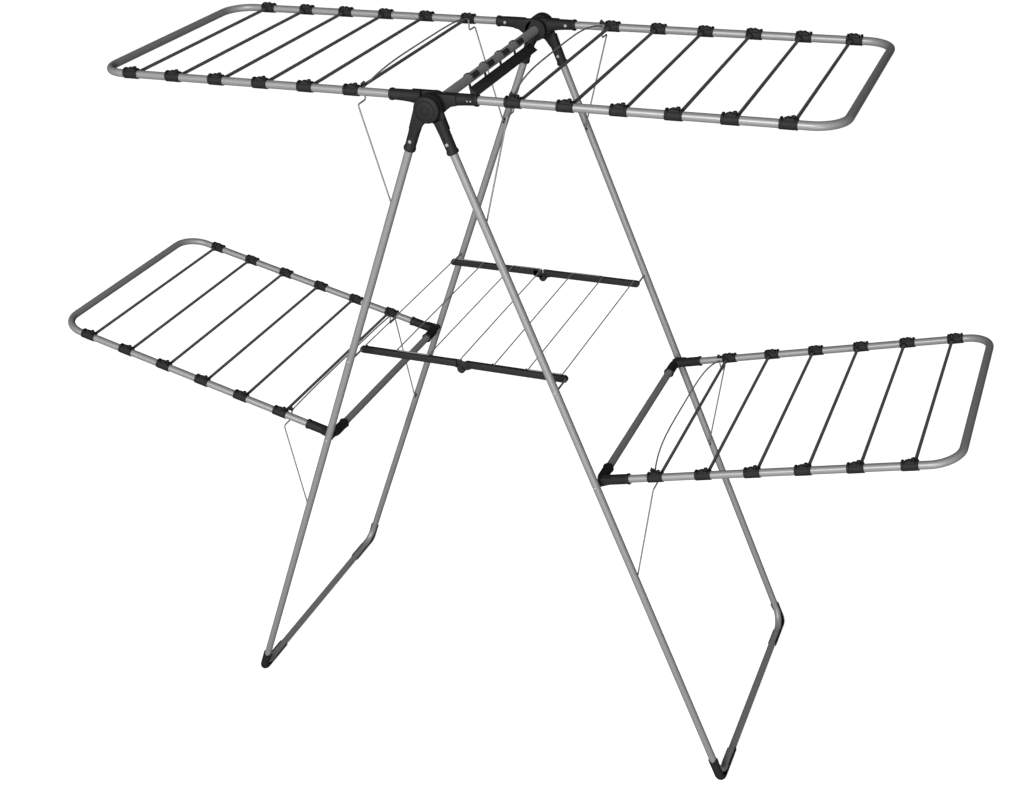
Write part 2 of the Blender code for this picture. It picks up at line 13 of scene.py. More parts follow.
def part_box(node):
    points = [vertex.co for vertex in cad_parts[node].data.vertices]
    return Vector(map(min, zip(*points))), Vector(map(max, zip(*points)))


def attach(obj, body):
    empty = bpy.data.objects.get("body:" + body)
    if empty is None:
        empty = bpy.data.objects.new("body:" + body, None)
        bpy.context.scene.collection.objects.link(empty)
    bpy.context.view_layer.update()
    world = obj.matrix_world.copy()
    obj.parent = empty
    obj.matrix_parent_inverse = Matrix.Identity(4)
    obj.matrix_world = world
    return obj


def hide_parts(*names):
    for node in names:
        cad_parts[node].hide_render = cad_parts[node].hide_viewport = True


bl_info = {
    "name": "Folding clothes drying rack",
    "version": (1, 0, 0),
    "blender": (4, 5, 0),
    "location": "3D View > Sidebar > Drying Rack",
    "description": "Builds the detailed pieces, materials and stage of a folding drying rack",
    "category": "Add Mesh",
}

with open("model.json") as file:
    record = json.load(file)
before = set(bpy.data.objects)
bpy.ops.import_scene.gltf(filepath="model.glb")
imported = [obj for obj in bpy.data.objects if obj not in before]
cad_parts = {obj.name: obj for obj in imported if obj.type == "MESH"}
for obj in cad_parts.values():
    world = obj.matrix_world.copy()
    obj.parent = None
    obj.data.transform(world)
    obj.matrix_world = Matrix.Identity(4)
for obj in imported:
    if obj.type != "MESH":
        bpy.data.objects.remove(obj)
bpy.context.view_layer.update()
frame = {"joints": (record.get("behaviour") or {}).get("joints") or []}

SIDES = {"left": -1, "right": 1}
ENDS = {"near": -1, "far": 1}
CORNERS = [(side, end) for side in SIDES for end in ENDS]
LEVELS = ("upper", "lower")
FULL_TURN = 2 * pi
SMOOTH_ANGLE = radians(38)
WELD = 1e-6
# Room between a moulding and whatever it lies beside or grips.
CLEAR = 0.0003


# ---------------------------------------------------------------- places read from the frame


def joint_place(name):
    found = [joint for joint in frame["joints"] if joint["name"] == name]
    return Vector(found[0]["pos_m"])


def centre_of(node):
    low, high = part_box(node)
    return (low + high) / 2


def node_size(node):
    low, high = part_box(node)
    return high - low


TUBE_R = node_size("lower_cross_tube_right").x / 2
HUB = joint_place("leg_fold")
RAIL_Z = centre_of("upper_wing_frame_right").z
AXIS_OFFSET = RAIL_Z - HUB.z
RAIL_Y = node_size("upper_wing_frame_right").y / 2 - TUBE_R
LOWER_Y = node_size("lower_wing_frame_right").y / 2 - TUBE_R
LEG_Y = node_size("leg_frame_right").y / 2 - TUBE_R
FLOOR_AXIS_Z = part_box("leg_frame_right")[0].z + TUBE_R
LEG_PIVOT = joint_place("wing_lower_right")
SHELF_PIVOT = Vector((-joint_place("shelf_left").x, 0.0, joint_place("shelf_left").z))
KNEE = joint_place("shelf_knee")
LEG_WAY = (LEG_PIVOT - SHELF_PIVOT).normalized()
LEG_OUT = Vector((-LEG_WAY.z, 0.0, LEG_WAY.x))
LOWER_RUNGS = [centre_of(f"rung_lower_right_{number}") for number in (1, 6)]
LOWER_WAY = (LOWER_RUNGS[1] - LOWER_RUNGS[0]).normalized()
LOWER_UP = Vector((-LOWER_WAY.z, 0.0, LOWER_WAY.x))
UPPER_WAY = Vector((1.0, 0.0, 0.0))
UP = Vector((0.0, 0.0, 1.0))


def sided(side, point, y=0.0):
    """A point of the right half moved to the named side, at distance y across the rack."""
    return Vector((SIDES[side] * point.x, y, point.z))


def leg_point(side, along, y=0.0, out=0.0):
    """A point beside a leg's line, along it from the foot of the hub centre's perpendicular."""
    start = Vector((HUB.x, 0.0, HUB.z)) + LEG_OUT * (AXIS_OFFSET + out)
    return sided(side, start + LEG_WAY * along, y)


def leg_at(side, z, y=0.0):
    return sided(side, LEG_PIVOT + LEG_WAY * ((z - LEG_PIVOT.z) / LEG_WAY.z), y)


def wing_point(level, side, out, y=0.0, up=0.0):
    """A point of a wing: out along it from its hinge, up from its rails' axis."""
    if level == "upper":
        return sided(side, Vector((out, 0.0, RAIL_Z + up)), y)
    return sided(side, LEG_PIVOT + LOWER_WAY * out + LOWER_UP * up, y)


def wing_reach(level):
    """How far out a wing's end tube lies from its hinge."""
    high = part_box(f"{level}_wing_frame_right")[1]
    if level == "upper":
        return high.x - TUBE_R
    return (high.x - TUBE_R - LEG_PIVOT.x) / LOWER_WAY.x


def rung_out(level, number):
    centre = centre_of(f"rung_{level}_right_{number}")
    if level == "upper":
        return centre.x
    return (centre - LEG_PIVOT).dot(LOWER_WAY)


WING_Y = {"upper": RAIL_Y, "lower": LOWER_Y}
WING_WAY = {"upper": UPPER_WAY, "lower": LOWER_WAY}
WING_UP = {"upper": UP, "lower": LOWER_UP}


# ---------------------------------------------------------------- sizes and colours


def length(name, description, default):
    return FloatProperty(name=name, description=description, default=default, unit="LENGTH")


def tint(name, description, *default):
    return FloatVectorProperty(name=name, description=description, default=default, subtype="COLOR")


class RackSizes(PropertyGroup):
    leg_bend: length("Leg bend", "Bend radius at the feet", 0.040)
    wing_bend: length("Wing bend", "Corner radius of the wings", 0.050)
    tube_sides: IntProperty(name="Tube sides", description="Sides of a round tube", default=24, min=8)
    bend_steps: IntProperty(name="Bend steps", description="Steps round a bend", default=14, min=4)
    bar_radius: length("Rung radius", "Radius of a rung's bar", 0.003)
    wire_radius: length("Stay radius", "Radius of the stays' wire", 0.0015)
    cord_radius: length("Cord radius", "Radius of the shelf cord", 0.0012)
    clip_length: length("Clip length", "Length of a rung clip", 0.029)
    foot_reach: length("Foot reach", "Foot's reach up the leg", 0.045)
    foot_floor_reach: length("Foot floor reach", "Foot's reach on the floor", 0.085)
    wall: length("Foot wall", "Wall of the feet", 0.0019)


class RackColours(PropertyGroup):
    tube: tint("Tube", "Paint of the tubes", 0.42, 0.42, 0.43)
    bar: tint("Rung", "Paint of the rungs", 0.32, 0.32, 0.325)
    wire: tint("Stay", "Finish of the stays", 0.42, 0.42, 0.43)
    rail: tint("Rail", "Finish of the rail and the rivets", 0.88, 0.88, 0.88)
    black: tint("Moulding", "Black plastic", 0.010, 0.010, 0.011)
    shelf: tint("Shelf bar", "Shelf plastic", 0.014, 0.014, 0.014)
    strip: tint("Strip", "Strip under the rail", 0.075, 0.075, 0.078)
    cord: tint("Cord", "Laced shelf cord", 0.26, 0.26, 0.26)


def sizes():
    return bpy.context.scene.rack_sizes


def colours():
    return bpy.context.scene.rack_colours


# ---------------------------------------------------------------- modelling tools


def rounded(points, radius, steps):
    """The polyline with each inner corner turned into an arc."""
    points = [Vector(point) for point in points]
    path = [points[0]]
    for before, corner, after in zip(points, points[1:], points[2:]):
        back = (before - corner).normalized()
        ahead = (after - corner).normalized()
        half = back.angle(ahead) / 2
        centre = corner + (back + ahead).normalized() * radius / sin(half)
        spoke = corner + back * radius / tan(half) - centre
        axis = spoke.cross(corner + ahead * radius / tan(half) - centre)
        for step in range(steps + 1):
            turn = Matrix.Rotation((pi - 2 * half) * step / steps, 3, axis)
            path.append(centre + turn @ spoke)
    path.append(points[-1])
    return path


def stations(path, stretch):
    """A matrix for each point of the path, with its section's axes square to the way it goes."""
    last = len(path) - 1
    ways = []
    for index, place in enumerate(path):
        before = after = index
        while before > 0 and (path[before] - place).length < WELD:
            before -= 1
        while after < last and (path[after] - place).length < WELD:
            after += 1
        ways.append((path[after] - path[before]).normalized())
    turn = ways[0].to_track_quat("Z", "Y")
    result = []
    for index, (place, way) in enumerate(zip(path, ways)):
        if index:
            turn = ways[index - 1].rotation_difference(way) @ turn
        size = Matrix.Diagonal((*stretch[index], 1.0, 1.0))
        result.append(Matrix.Translation(place) @ turn.to_matrix().to_4x4() @ size)
    return result


def sweep(form, path, radii, sides=24, caps=True):
    """Extrudes a ring from place to place along the path. radii holds a radius or a pair for each."""
    path = [Vector(place) for place in path]
    if not isinstance(radii, (list, tuple)):
        radii = [radii] * len(path)
    stretch = [size if isinstance(size, tuple) else (size, size) for size in radii]
    places = stations(path, stretch)
    ring = bmesh.ops.create_circle(form, cap_ends=False, segments=sides, radius=1.0)["verts"]
    edges = list({edge for vert in ring for edge in vert.link_edges})
    bmesh.ops.transform(form, matrix=places[0], verts=ring)
    first = edges
    for before, place in zip(places, places[1:]):
        made = bmesh.ops.extrude_edge_only(form, edges=edges)["geom"]
        verts = [item for item in made if isinstance(item, bmesh.types.BMVert)]
        edges = [item for item in made if isinstance(item, bmesh.types.BMEdge)]
        bmesh.ops.transform(form, matrix=place @ before.inverted(), verts=verts)
    if caps:
        bmesh.ops.edgeloop_fill(form, edges=first)
        bmesh.ops.edgeloop_fill(form, edges=edges)


def lathe(form, profile, place, way, steps=32):
    """Spins a profile of (radius, height) pairs about the axis that leaves place along way."""
    verts = [form.verts.new((radius, 0.0, height)) for radius, height in profile]
    edges = [form.edges.new(pair) for pair in zip(verts, verts[1:])]
    bmesh.ops.spin(
        form,
        geom=verts + edges,
        cent=(0.0, 0.0, 0.0),
        axis=(0.0, 0.0, 1.0),
        dvec=(0.0, 0.0, 0.0),
        angle=FULL_TURN,
        steps=steps,
        use_merge=True,
    )
    touched = set(verts)
    frontier = list(verts)
    while frontier:
        vert = frontier.pop()
        for edge in vert.link_edges:
            other = edge.other_vert(vert)
            if other not in touched:
                touched.add(other)
                frontier.append(other)
    turn = Vector(way).to_track_quat("Z", "Y").to_matrix().to_4x4()
    bmesh.ops.transform(form, matrix=Matrix.Translation(Vector(place)) @ turn, verts=list(touched))


def prism(form, outline, thickness, soften=0.0, segments=2):
    """Extrudes a flat outline of corner points by a thickness vector and softens its rims."""
    verts = [form.verts.new(Vector(point)) for point in outline]
    face = form.faces.new(verts)
    made = bmesh.ops.extrude_face_region(form, geom=[face], use_keep_orig=True)["geom"]
    moved = [item for item in made if isinstance(item, bmesh.types.BMVert)]
    bmesh.ops.translate(form, verts=moved, vec=Vector(thickness))
    if soften:
        both = set(verts) | set(moved)
        rims = {edge for vert in both for edge in vert.link_edges if edge.other_vert(vert) in both}
        bmesh.ops.bevel(
            form,
            geom=list(rims),
            offset=soften,
            offset_type="OFFSET",
            segments=segments,
            profile=0.5,
            affect="EDGES",
            material=-1,
        )


def arc_points(centre, radius, start, end, steps, first=UPPER_WAY, second=UP):
    """Points on an arc in the plane of two axes, from one angle to another."""
    points = []
    for step in range(steps + 1):
        angle = start + (end - start) * step / steps
        points.append(Vector(centre) + first * radius * cos(angle) + second * radius * sin(angle))
    return points


def make_piece(name, form, material, body, replaces=()):
    """Turns a bmesh into a finished piece that rides on a body."""
    bmesh.ops.remove_doubles(form, verts=form.verts, dist=WELD)
    loose = [edge for edge in form.edges if not edge.link_faces]
    bmesh.ops.delete(form, geom=loose, context="EDGES")
    bmesh.ops.recalc_face_normals(form, faces=form.faces)
    mesh = bpy.data.meshes.new(name)
    form.to_mesh(mesh)
    form.free()
    mesh.shade_smooth()
    mesh.set_sharp_from_angle(angle=SMOOTH_ANGLE)
    mesh.materials.append(bpy.data.materials[material])
    piece = bpy.data.objects.new(name, mesh)
    bpy.context.scene.collection.objects.link(piece)
    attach(piece, body)
    if replaces:
        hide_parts(*replaces)


# ---------------------------------------------------------------- materials


def add_socket(group, name, kind, way, default=None):
    socket = group.interface.new_socket(name=name, in_out=way, socket_type=kind)
    if default is not None:
        socket.default_value = default


def new_group(name, inputs, outputs):
    group = bpy.data.node_groups.new(name, "ShaderNodeTree")
    for socket_name, kind, default in inputs:
        add_socket(group, socket_name, kind, "INPUT", default)
    for socket_name, kind in outputs:
        add_socket(group, socket_name, kind, "OUTPUT")
    start = group.nodes.new("NodeGroupInput")
    end = group.nodes.new("NodeGroupOutput")
    return group, start, end


def math_node(tree, operation, first, second):
    node = tree.nodes.new("ShaderNodeMath")
    node.operation = operation
    for socket, value in zip(node.inputs, (first, second)):
        if isinstance(value, (int, float)):
            socket.default_value = value
        else:
            tree.links.new(value, socket)
    return node.outputs[0]


def noise_node(tree, vector, scale, detail, roughness=0.5):
    node = tree.nodes.new("ShaderNodeTexNoise")
    node.inputs["Detail"].default_value = detail
    node.inputs["Roughness"].default_value = roughness
    tree.links.new(vector, node.inputs["Vector"])
    if isinstance(scale, (int, float)):
        node.inputs["Scale"].default_value = scale
    else:
        tree.links.new(scale, node.inputs["Scale"])
    return node.outputs["Fac"]


def tone_group():
    """Slow cloudy change of a paint's tone, with fine specks of dust on top."""
    group, start, end = new_group(
        "rack_tone",
        [
            ("Vector", "NodeSocketVector", None),
            ("Colour", "NodeSocketColor", (0.5, 0.5, 0.5, 1.0)),
            ("Cloud", "NodeSocketFloat", 0.1),
            ("Speck", "NodeSocketFloat", 0.05),
            ("Speck scale", "NodeSocketFloat", 900.0),
        ],
        [("Colour", "NodeSocketColor")],
    )
    cloud = noise_node(group, start.outputs["Vector"], 14.0, 3.0)
    speck = noise_node(group, start.outputs["Vector"], start.outputs["Speck scale"], 2.0)
    cloud = math_node(group, "SUBTRACT", cloud, 0.5)
    speck = math_node(group, "SUBTRACT", speck, 0.5)
    cloud = math_node(group, "MULTIPLY", cloud, start.outputs["Cloud"])
    speck = math_node(group, "MULTIPLY", speck, start.outputs["Speck"])
    total = math_node(group, "ADD", cloud, speck)
    gain = math_node(group, "ADD", total, 1.0)
    scale = group.nodes.new("ShaderNodeVectorMath")
    scale.operation = "SCALE"
    group.links.new(start.outputs["Colour"], scale.inputs[0])
    group.links.new(gain, scale.inputs["Scale"])
    group.links.new(scale.outputs[0], end.inputs["Colour"])


def grain_group():
    """Height of a moulded or powder-painted skin: a fine grain over a soft ripple."""
    group, start, end = new_group(
        "rack_grain",
        [
            ("Vector", "NodeSocketVector", None),
            ("Grain scale", "NodeSocketFloat", 1500.0),
            ("Ripple scale", "NodeSocketFloat", 180.0),
            ("Ripple", "NodeSocketFloat", 0.3),
        ],
        [("Height", "NodeSocketFloat")],
    )
    grain = noise_node(group, start.outputs["Vector"], start.outputs["Grain scale"], 1.0)
    ripple = noise_node(group, start.outputs["Vector"], start.outputs["Ripple scale"], 1.0)
    ripple = math_node(group, "MULTIPLY", ripple, start.outputs["Ripple"])
    group.links.new(math_node(group, "ADD", grain, ripple), end.inputs["Height"])


def scuff_group():
    """Roughness that varies in patches, with short rubbed marks."""
    group, start, end = new_group(
        "rack_scuff",
        [
            ("Vector", "NodeSocketVector", None),
            ("Roughness", "NodeSocketFloat", 0.4),
            ("Patches", "NodeSocketFloat", 0.08),
            ("Marks", "NodeSocketFloat", 0.12),
        ],
        [("Roughness", "NodeSocketFloat")],
    )
    patches = noise_node(group, start.outputs["Vector"], 35.0, 2.0)
    patches = math_node(group, "SUBTRACT", patches, 0.5)
    patches = math_node(group, "MULTIPLY", patches, start.outputs["Patches"])
    marks = noise_node(group, start.outputs["Vector"], 160.0, 4.0, 0.7)
    marks = math_node(group, "SUBTRACT", marks, 0.62)
    marks = math_node(group, "MAXIMUM", marks, 0.0)
    marks = math_node(group, "MULTIPLY", marks, start.outputs["Marks"])
    total = math_node(group, "ADD", patches, marks)
    total = math_node(group, "ADD", total, start.outputs["Roughness"])
    group.links.new(total, end.inputs["Roughness"])


def weave_group():
    """Height of threads that cross at right angles."""
    group, start, end = new_group(
        "rack_weave",
        [("Vector", "NodeSocketVector", None), ("Threads", "NodeSocketFloat", 900.0)],
        [("Height", "NodeSocketFloat")],
    )
    heights = []
    for direction in ("X", "Y"):
        wave = group.nodes.new("ShaderNodeTexWave")
        wave.bands_direction = direction
        wave.inputs["Distortion"].default_value = 0.0
        group.links.new(start.outputs["Vector"], wave.inputs["Vector"])
        group.links.new(start.outputs["Threads"], wave.inputs["Scale"])
        heights.append(wave.outputs["Fac"])
    group.links.new(math_node(group, "MULTIPLY", *heights), end.inputs["Height"])


def new_material(name, colour):
    """A new material's node tree, shader, object coordinates and paint colour."""
    material = bpy.data.materials.new(name)
    material.use_nodes = True
    tree = material.node_tree
    place = tree.nodes.new("ShaderNodeTexCoord").outputs["Object"]
    return tree, tree.nodes["Principled BSDF"], place, (*getattr(colours(), colour), 1.0)


def add_bump(tree, shader, height, strength, distance):
    bump = tree.nodes.new("ShaderNodeBump")
    bump.inputs["Strength"].default_value = strength
    bump.inputs["Distance"].default_value = distance
    tree.links.new(height, bump.inputs["Height"])
    tree.links.new(bump.outputs["Normal"], shader.inputs["Normal"])


def group_node(tree, name, values, vector):
    node = tree.nodes.new("ShaderNodeGroup")
    node.node_tree = bpy.data.node_groups[name]
    tree.links.new(vector, node.inputs["Vector"])
    for key, value in values.items():
        node.inputs[key].default_value = value
    return node


# Each finish: its colour's name, metallic, roughness, then its tone's cloud, speck and speck
# scale, its scuffs' patches and marks, its grain, ripple scale and ripple, and its depth.
FINISHES = {
    "tube_steel": ("tube", 0.98, 0.12, (0.10, 0.10, 900.0), (0.04, 0.08), (1500.0, 160.0, 0.5), 0.012),
    "bar_steel": ("bar", 0.96, 0.32, (0.12, 0.10, 900.0), (0.05, 0.10), (1500.0, 200.0, 0.5), 0.03),
    "wire_steel": ("wire", 0.96, 0.28, (0.10, 0.08, 900.0), (0.05, 0.10), (1500.0, 260.0, 0.4), 0.03),
    "rail_steel": ("rail", 0.97, 0.20, (0.08, 0.16, 1100.0), (0.05, 0.10), (1700.0, 260.0, 0.4), 0.06),
    "black_plastic": ("black", 0.0, 0.27, (0.20, 0.25, 1100.0), (0.06, 0.12), (2100.0, 320.0, 0.5), 0.05),
    "shelf_plastic": ("shelf", 0.0, 0.58, (0.20, 0.30, 1100.0), (0.08, 0.25), (1900.0, 320.0, 0.5), 0.22),
}
TONE = ("Cloud", "Speck", "Speck scale")
SCUFF = ("Patches", "Marks")
GRAIN = ("Grain scale", "Ripple scale", "Ripple")
GRAIN_HEIGHT = 0.0003
STEEL_GLEAM = 0.5
PLASTIC_GLEAM = 0.28


def painted(name):
    """A painted or moulded finish: toned colour, scuffed gloss and a grained skin."""
    colour, metallic, roughness, tone, scuff, grain, depth = FINISHES[name]
    tree, shader, place, paint = new_material(name, colour)
    toned = group_node(tree, "rack_tone", {**dict(zip(TONE, tone)), "Colour": paint}, place)
    tree.links.new(toned.outputs["Colour"], shader.inputs["Base Color"])
    values = {"Roughness": roughness, **dict(zip(SCUFF, scuff))}
    scuffed = group_node(tree, "rack_scuff", values, place)
    tree.links.new(scuffed.outputs["Roughness"], shader.inputs["Roughness"])
    grained = group_node(tree, "rack_grain", dict(zip(GRAIN, grain)), place)
    add_bump(tree, shader, grained.outputs["Height"], depth, GRAIN_HEIGHT)
    shader.inputs["Metallic"].default_value = metallic
    shader.inputs["Specular IOR Level"].default_value = STEEL_GLEAM if metallic else PLASTIC_GLEAM


THREAD_TURN = (0.0, radians(42), radians(45))
# How strongly the painted shade between the threads darkens the colour.
THREAD_PAINTED_SHADE = 0.45
THREAD_HEIGHT = 0.0004


def threaded(name, colour, roughness, threads, depth):
    """A woven or twisted finish. Its colour is darkened where the weave lies low, as painted shade
    between the threads.
    """
    tree, shader, place, paint = new_material(name, colour)
    mapping = tree.nodes.new("ShaderNodeMapping")
    mapping.inputs["Rotation"].default_value = THREAD_TURN
    tree.links.new(place, mapping.inputs["Vector"])
    values = {**dict(zip(TONE, (0.15, 0.5, 1300.0))), "Colour": paint}
    toned = group_node(tree, "rack_tone", values, place)
    weave = group_node(tree, "rack_weave", {"Threads": threads}, mapping.outputs["Vector"])
    # Painted shade: the colour is multiplied down where the weave's height is low.
    painted_shade = tree.nodes.new("ShaderNodeMix")
    painted_shade.data_type = "RGBA"
    painted_shade.blend_type = "MULTIPLY"
    painted_shade.inputs["Factor"].default_value = THREAD_PAINTED_SHADE
    tree.links.new(toned.outputs["Colour"], painted_shade.inputs["A"])
    tree.links.new(weave.outputs["Height"], painted_shade.inputs["B"])
    tree.links.new(painted_shade.outputs["Result"], shader.inputs["Base Color"])
    add_bump(tree, shader, weave.outputs["Height"], depth, THREAD_HEIGHT)
    shader.inputs["Roughness"].default_value = roughness


class RACK_OT_materials(Operator):
    """Make the rack's paints, plastics and cord"""

    bl_idname = "rack.materials"
    bl_label = "Materials"

    def execute(self, context):
        tone_group()
        grain_group()
        scuff_group()
        weave_group()
        for name in FINISHES:
            painted(name)
        threaded("strip_plastic", "strip", 0.72, 260.0, 0.7)
        threaded("shelf_cord", "cord", 0.80, 420.0, 0.6)
        return {"FINISHED"}


# ---------------------------------------------------------------- tubes


class RACK_OT_tubes(Operator):
    """Bend the leg frames, wing frames and cross tubes"""

    bl_idname = "rack.tubes"
    bl_label = "Tubes"

    def execute(self, context):
        for side in SIDES:
            self.leg_frame(side)
            for level in LEVELS:
                self.wing_frame(level, side)
            self.cross_tube(side)
        return {"FINISHED"}

    def bend(self, name, path, radius, node, body):
        form = bmesh.new()
        sweep(form, rounded(path, radius, sizes().bend_steps), TUBE_R, sizes().tube_sides)
        make_piece(name, form, "tube_steel", body, [node])

    def leg_frame(self, side):
        node = f"leg_frame_{side}"
        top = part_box(node)[1].z - TUBE_R * LEG_WAY.x
        path = [
            leg_at(side, top, -LEG_Y),
            leg_at(side, FLOOR_AXIS_Z, -LEG_Y),
            leg_at(side, FLOOR_AXIS_Z, LEG_Y),
            leg_at(side, top, LEG_Y),
        ]
        self.bend(f"leg_tube_{side}", path, sizes().leg_bend, node, f"frame_{side}")

    def wing_frame(self, level, side):
        node = f"{level}_wing_frame_{side}"
        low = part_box(f"{level}_wing_frame_right")[0]
        start = low.x
        if level == "lower":
            start = max((low.x - LEG_PIVOT.x + TUBE_R * LOWER_WAY.z) / LOWER_WAY.x, TUBE_R)
        y = WING_Y[level]
        reach = wing_reach(level)
        path = [
            wing_point(level, side, start, -y),
            wing_point(level, side, reach, -y),
            wing_point(level, side, reach, y),
            wing_point(level, side, start, y),
        ]
        self.bend(f"{level}_wing_tube_{side}", path, sizes().wing_bend, node, f"wing_{level}_{side}")

    def cross_tube(self, side):
        node = f"lower_cross_tube_{side}"
        half = node_size(node).y / 2
        form = bmesh.new()
        ends = [wing_point("lower", side, 0.0, -half), wing_point("lower", side, 0.0, half)]
        sweep(form, ends, TUBE_R, sizes().tube_sides)
        make_piece(f"cross_tube_{side}", form, "tube_steel", f"wing_lower_{side}", [node])


# ---------------------------------------------------------------- feet


class RACK_OT_feet(Operator):
    """Fold the channel feet round the bottom bends"""

    bl_idname = "rack.feet"
    bl_label = "Feet"

    section_steps = 18
    corner_bend = 0.011
    grip = radians(106)
    waist = radians(84)
    waist_share = 0.7
    tip = 0.0045

    def execute(self, context):
        for side, end in CORNERS:
            self.foot(side, end)
        return {"FINISHED"}

    def foot(self, side, end):
        """A channel with a sharp corner outside the tube's round bend, open on the bend's inside.

        It grips the straight tubes and narrows to its waist round the corner."""
        up = (leg_point(side, 0.0) - leg_point(side, 1.0)).normalized()
        inward = Vector((0.0, -ENDS[end], 0.0))
        corner = leg_at(side, FLOOR_AXIS_Z, ENDS[end] * LEG_Y)
        leg_reach = sizes().foot_reach
        floor_reach = sizes().foot_floor_reach
        bend = sizes().leg_bend
        waist_reach = bend * self.waist_share
        ends = [corner + up * leg_reach, corner, corner + inward * floor_reach]
        arc = rounded(ends, self.corner_bend, sizes().bend_steps)[1:-1]
        path = [ends[0], corner + up * (leg_reach - self.tip), corner + up * waist_reach]
        path += arc
        path += [corner + inward * reach for reach in (waist_reach, bend, floor_reach)]
        wraps = [self.grip] * 2 + [self.waist] * (len(arc) + 2) + [self.grip] * 2
        across = up.cross(inward).normalized()
        form = bmesh.new()
        rings = []
        last = len(path) - 1
        for index, (place, wrap) in enumerate(zip(path, wraps)):
            way = (path[min(index + 1, last)] - path[max(index - 1, 0)]).normalized()
            outward = way.cross(across)
            if outward.dot(up + inward) > 0:
                outward = -outward
            notch = way * ((index == last) - (index == 0)) * self.tip
            rings.append(self.section(form, place, notch, outward, across, wrap))
        for first, second in zip(rings, rings[1:]):
            bmesh.ops.bridge_loops(form, edges=first + second)
        bmesh.ops.holes_fill(form, edges=[edge for edge in form.edges if edge.is_boundary])
        for vert in form.verts:
            vert.co.z = max(vert.co.z, 0.0)
        node = f"foot_{side}_{end}"
        make_piece(f"foot_shell_{side}_{end}", form, "black_plastic", f"frame_{side}", [node])

    def section(self, form, place, notch, outward, across, wrap):
        """One closed ring of the channel's wall, outer skin first."""
        inner = TUBE_R + CLEAR
        skin = inner + sizes().wall
        steps = self.section_steps
        angles = [wrap * (2 * step / steps - 1) for step in range(steps + 1)]
        points = [(angle, skin) for angle in angles] + [(angle, inner) for angle in reversed(angles)]
        verts = []
        for angle, radius in points:
            spoke = outward * cos(angle) + across * sin(angle)
            verts.append(form.verts.new(place + spoke * radius + notch * (abs(sin(angle)) - 0.5)))
        pairs = zip(verts, verts[1:] + verts[:1])
        return [form.edges.new(pair) for pair in pairs]


# ---------------------------------------------------------------- hubs

COLLAR_R = 0.0108
SLEEVE_R = 0.0095
COLLAR_LENGTH = 0.008
MOUTH_R = TUBE_R + 0.0004
MOUTH_RIM_R = 0.0092
# Distance along the collar and radius, from the sleeve to the mouth.
BELL = [(0.000, SLEEVE_R), (0.0012, 0.0102), (0.003, COLLAR_R), (0.0055, COLLAR_R), (0.0074, 0.0103)]


def collar_path(start, way):
    """Places and radii of a rounded bead that ends in a tube's mouth."""
    places = [start + way * along for along, _ in BELL]
    radii = [radius for _, radius in BELL]
    places += [start + way * COLLAR_LENGTH, start + way * COLLAR_LENGTH]
    radii += [MOUTH_RIM_R, MOUTH_R]
    return places, radii


def rivet(form, place, way, radius=0.0032, height=0.0013):
    """A domed rivet head that stands on place."""
    sunk = -0.0004
    profile = [
        (0.0, height),
        (radius * 0.45, height * 0.93),
        (radius * 0.80, height * 0.65),
        (radius * 0.97, height * 0.30),
        (radius, 0.0),
        (radius * 0.9, sunk),
        (0.0, sunk),
    ]
    lathe(form, profile, place, way, 20)


def plain_profile(radius, depth, edge=0.0012):
    """A disc with chamfered rims."""
    return [
        (0.0, 0.0),
        (radius - edge, 0.0),
        (radius, edge),
        (radius, depth - edge),
        (radius - edge, depth),
        (0.0, depth),
    ]


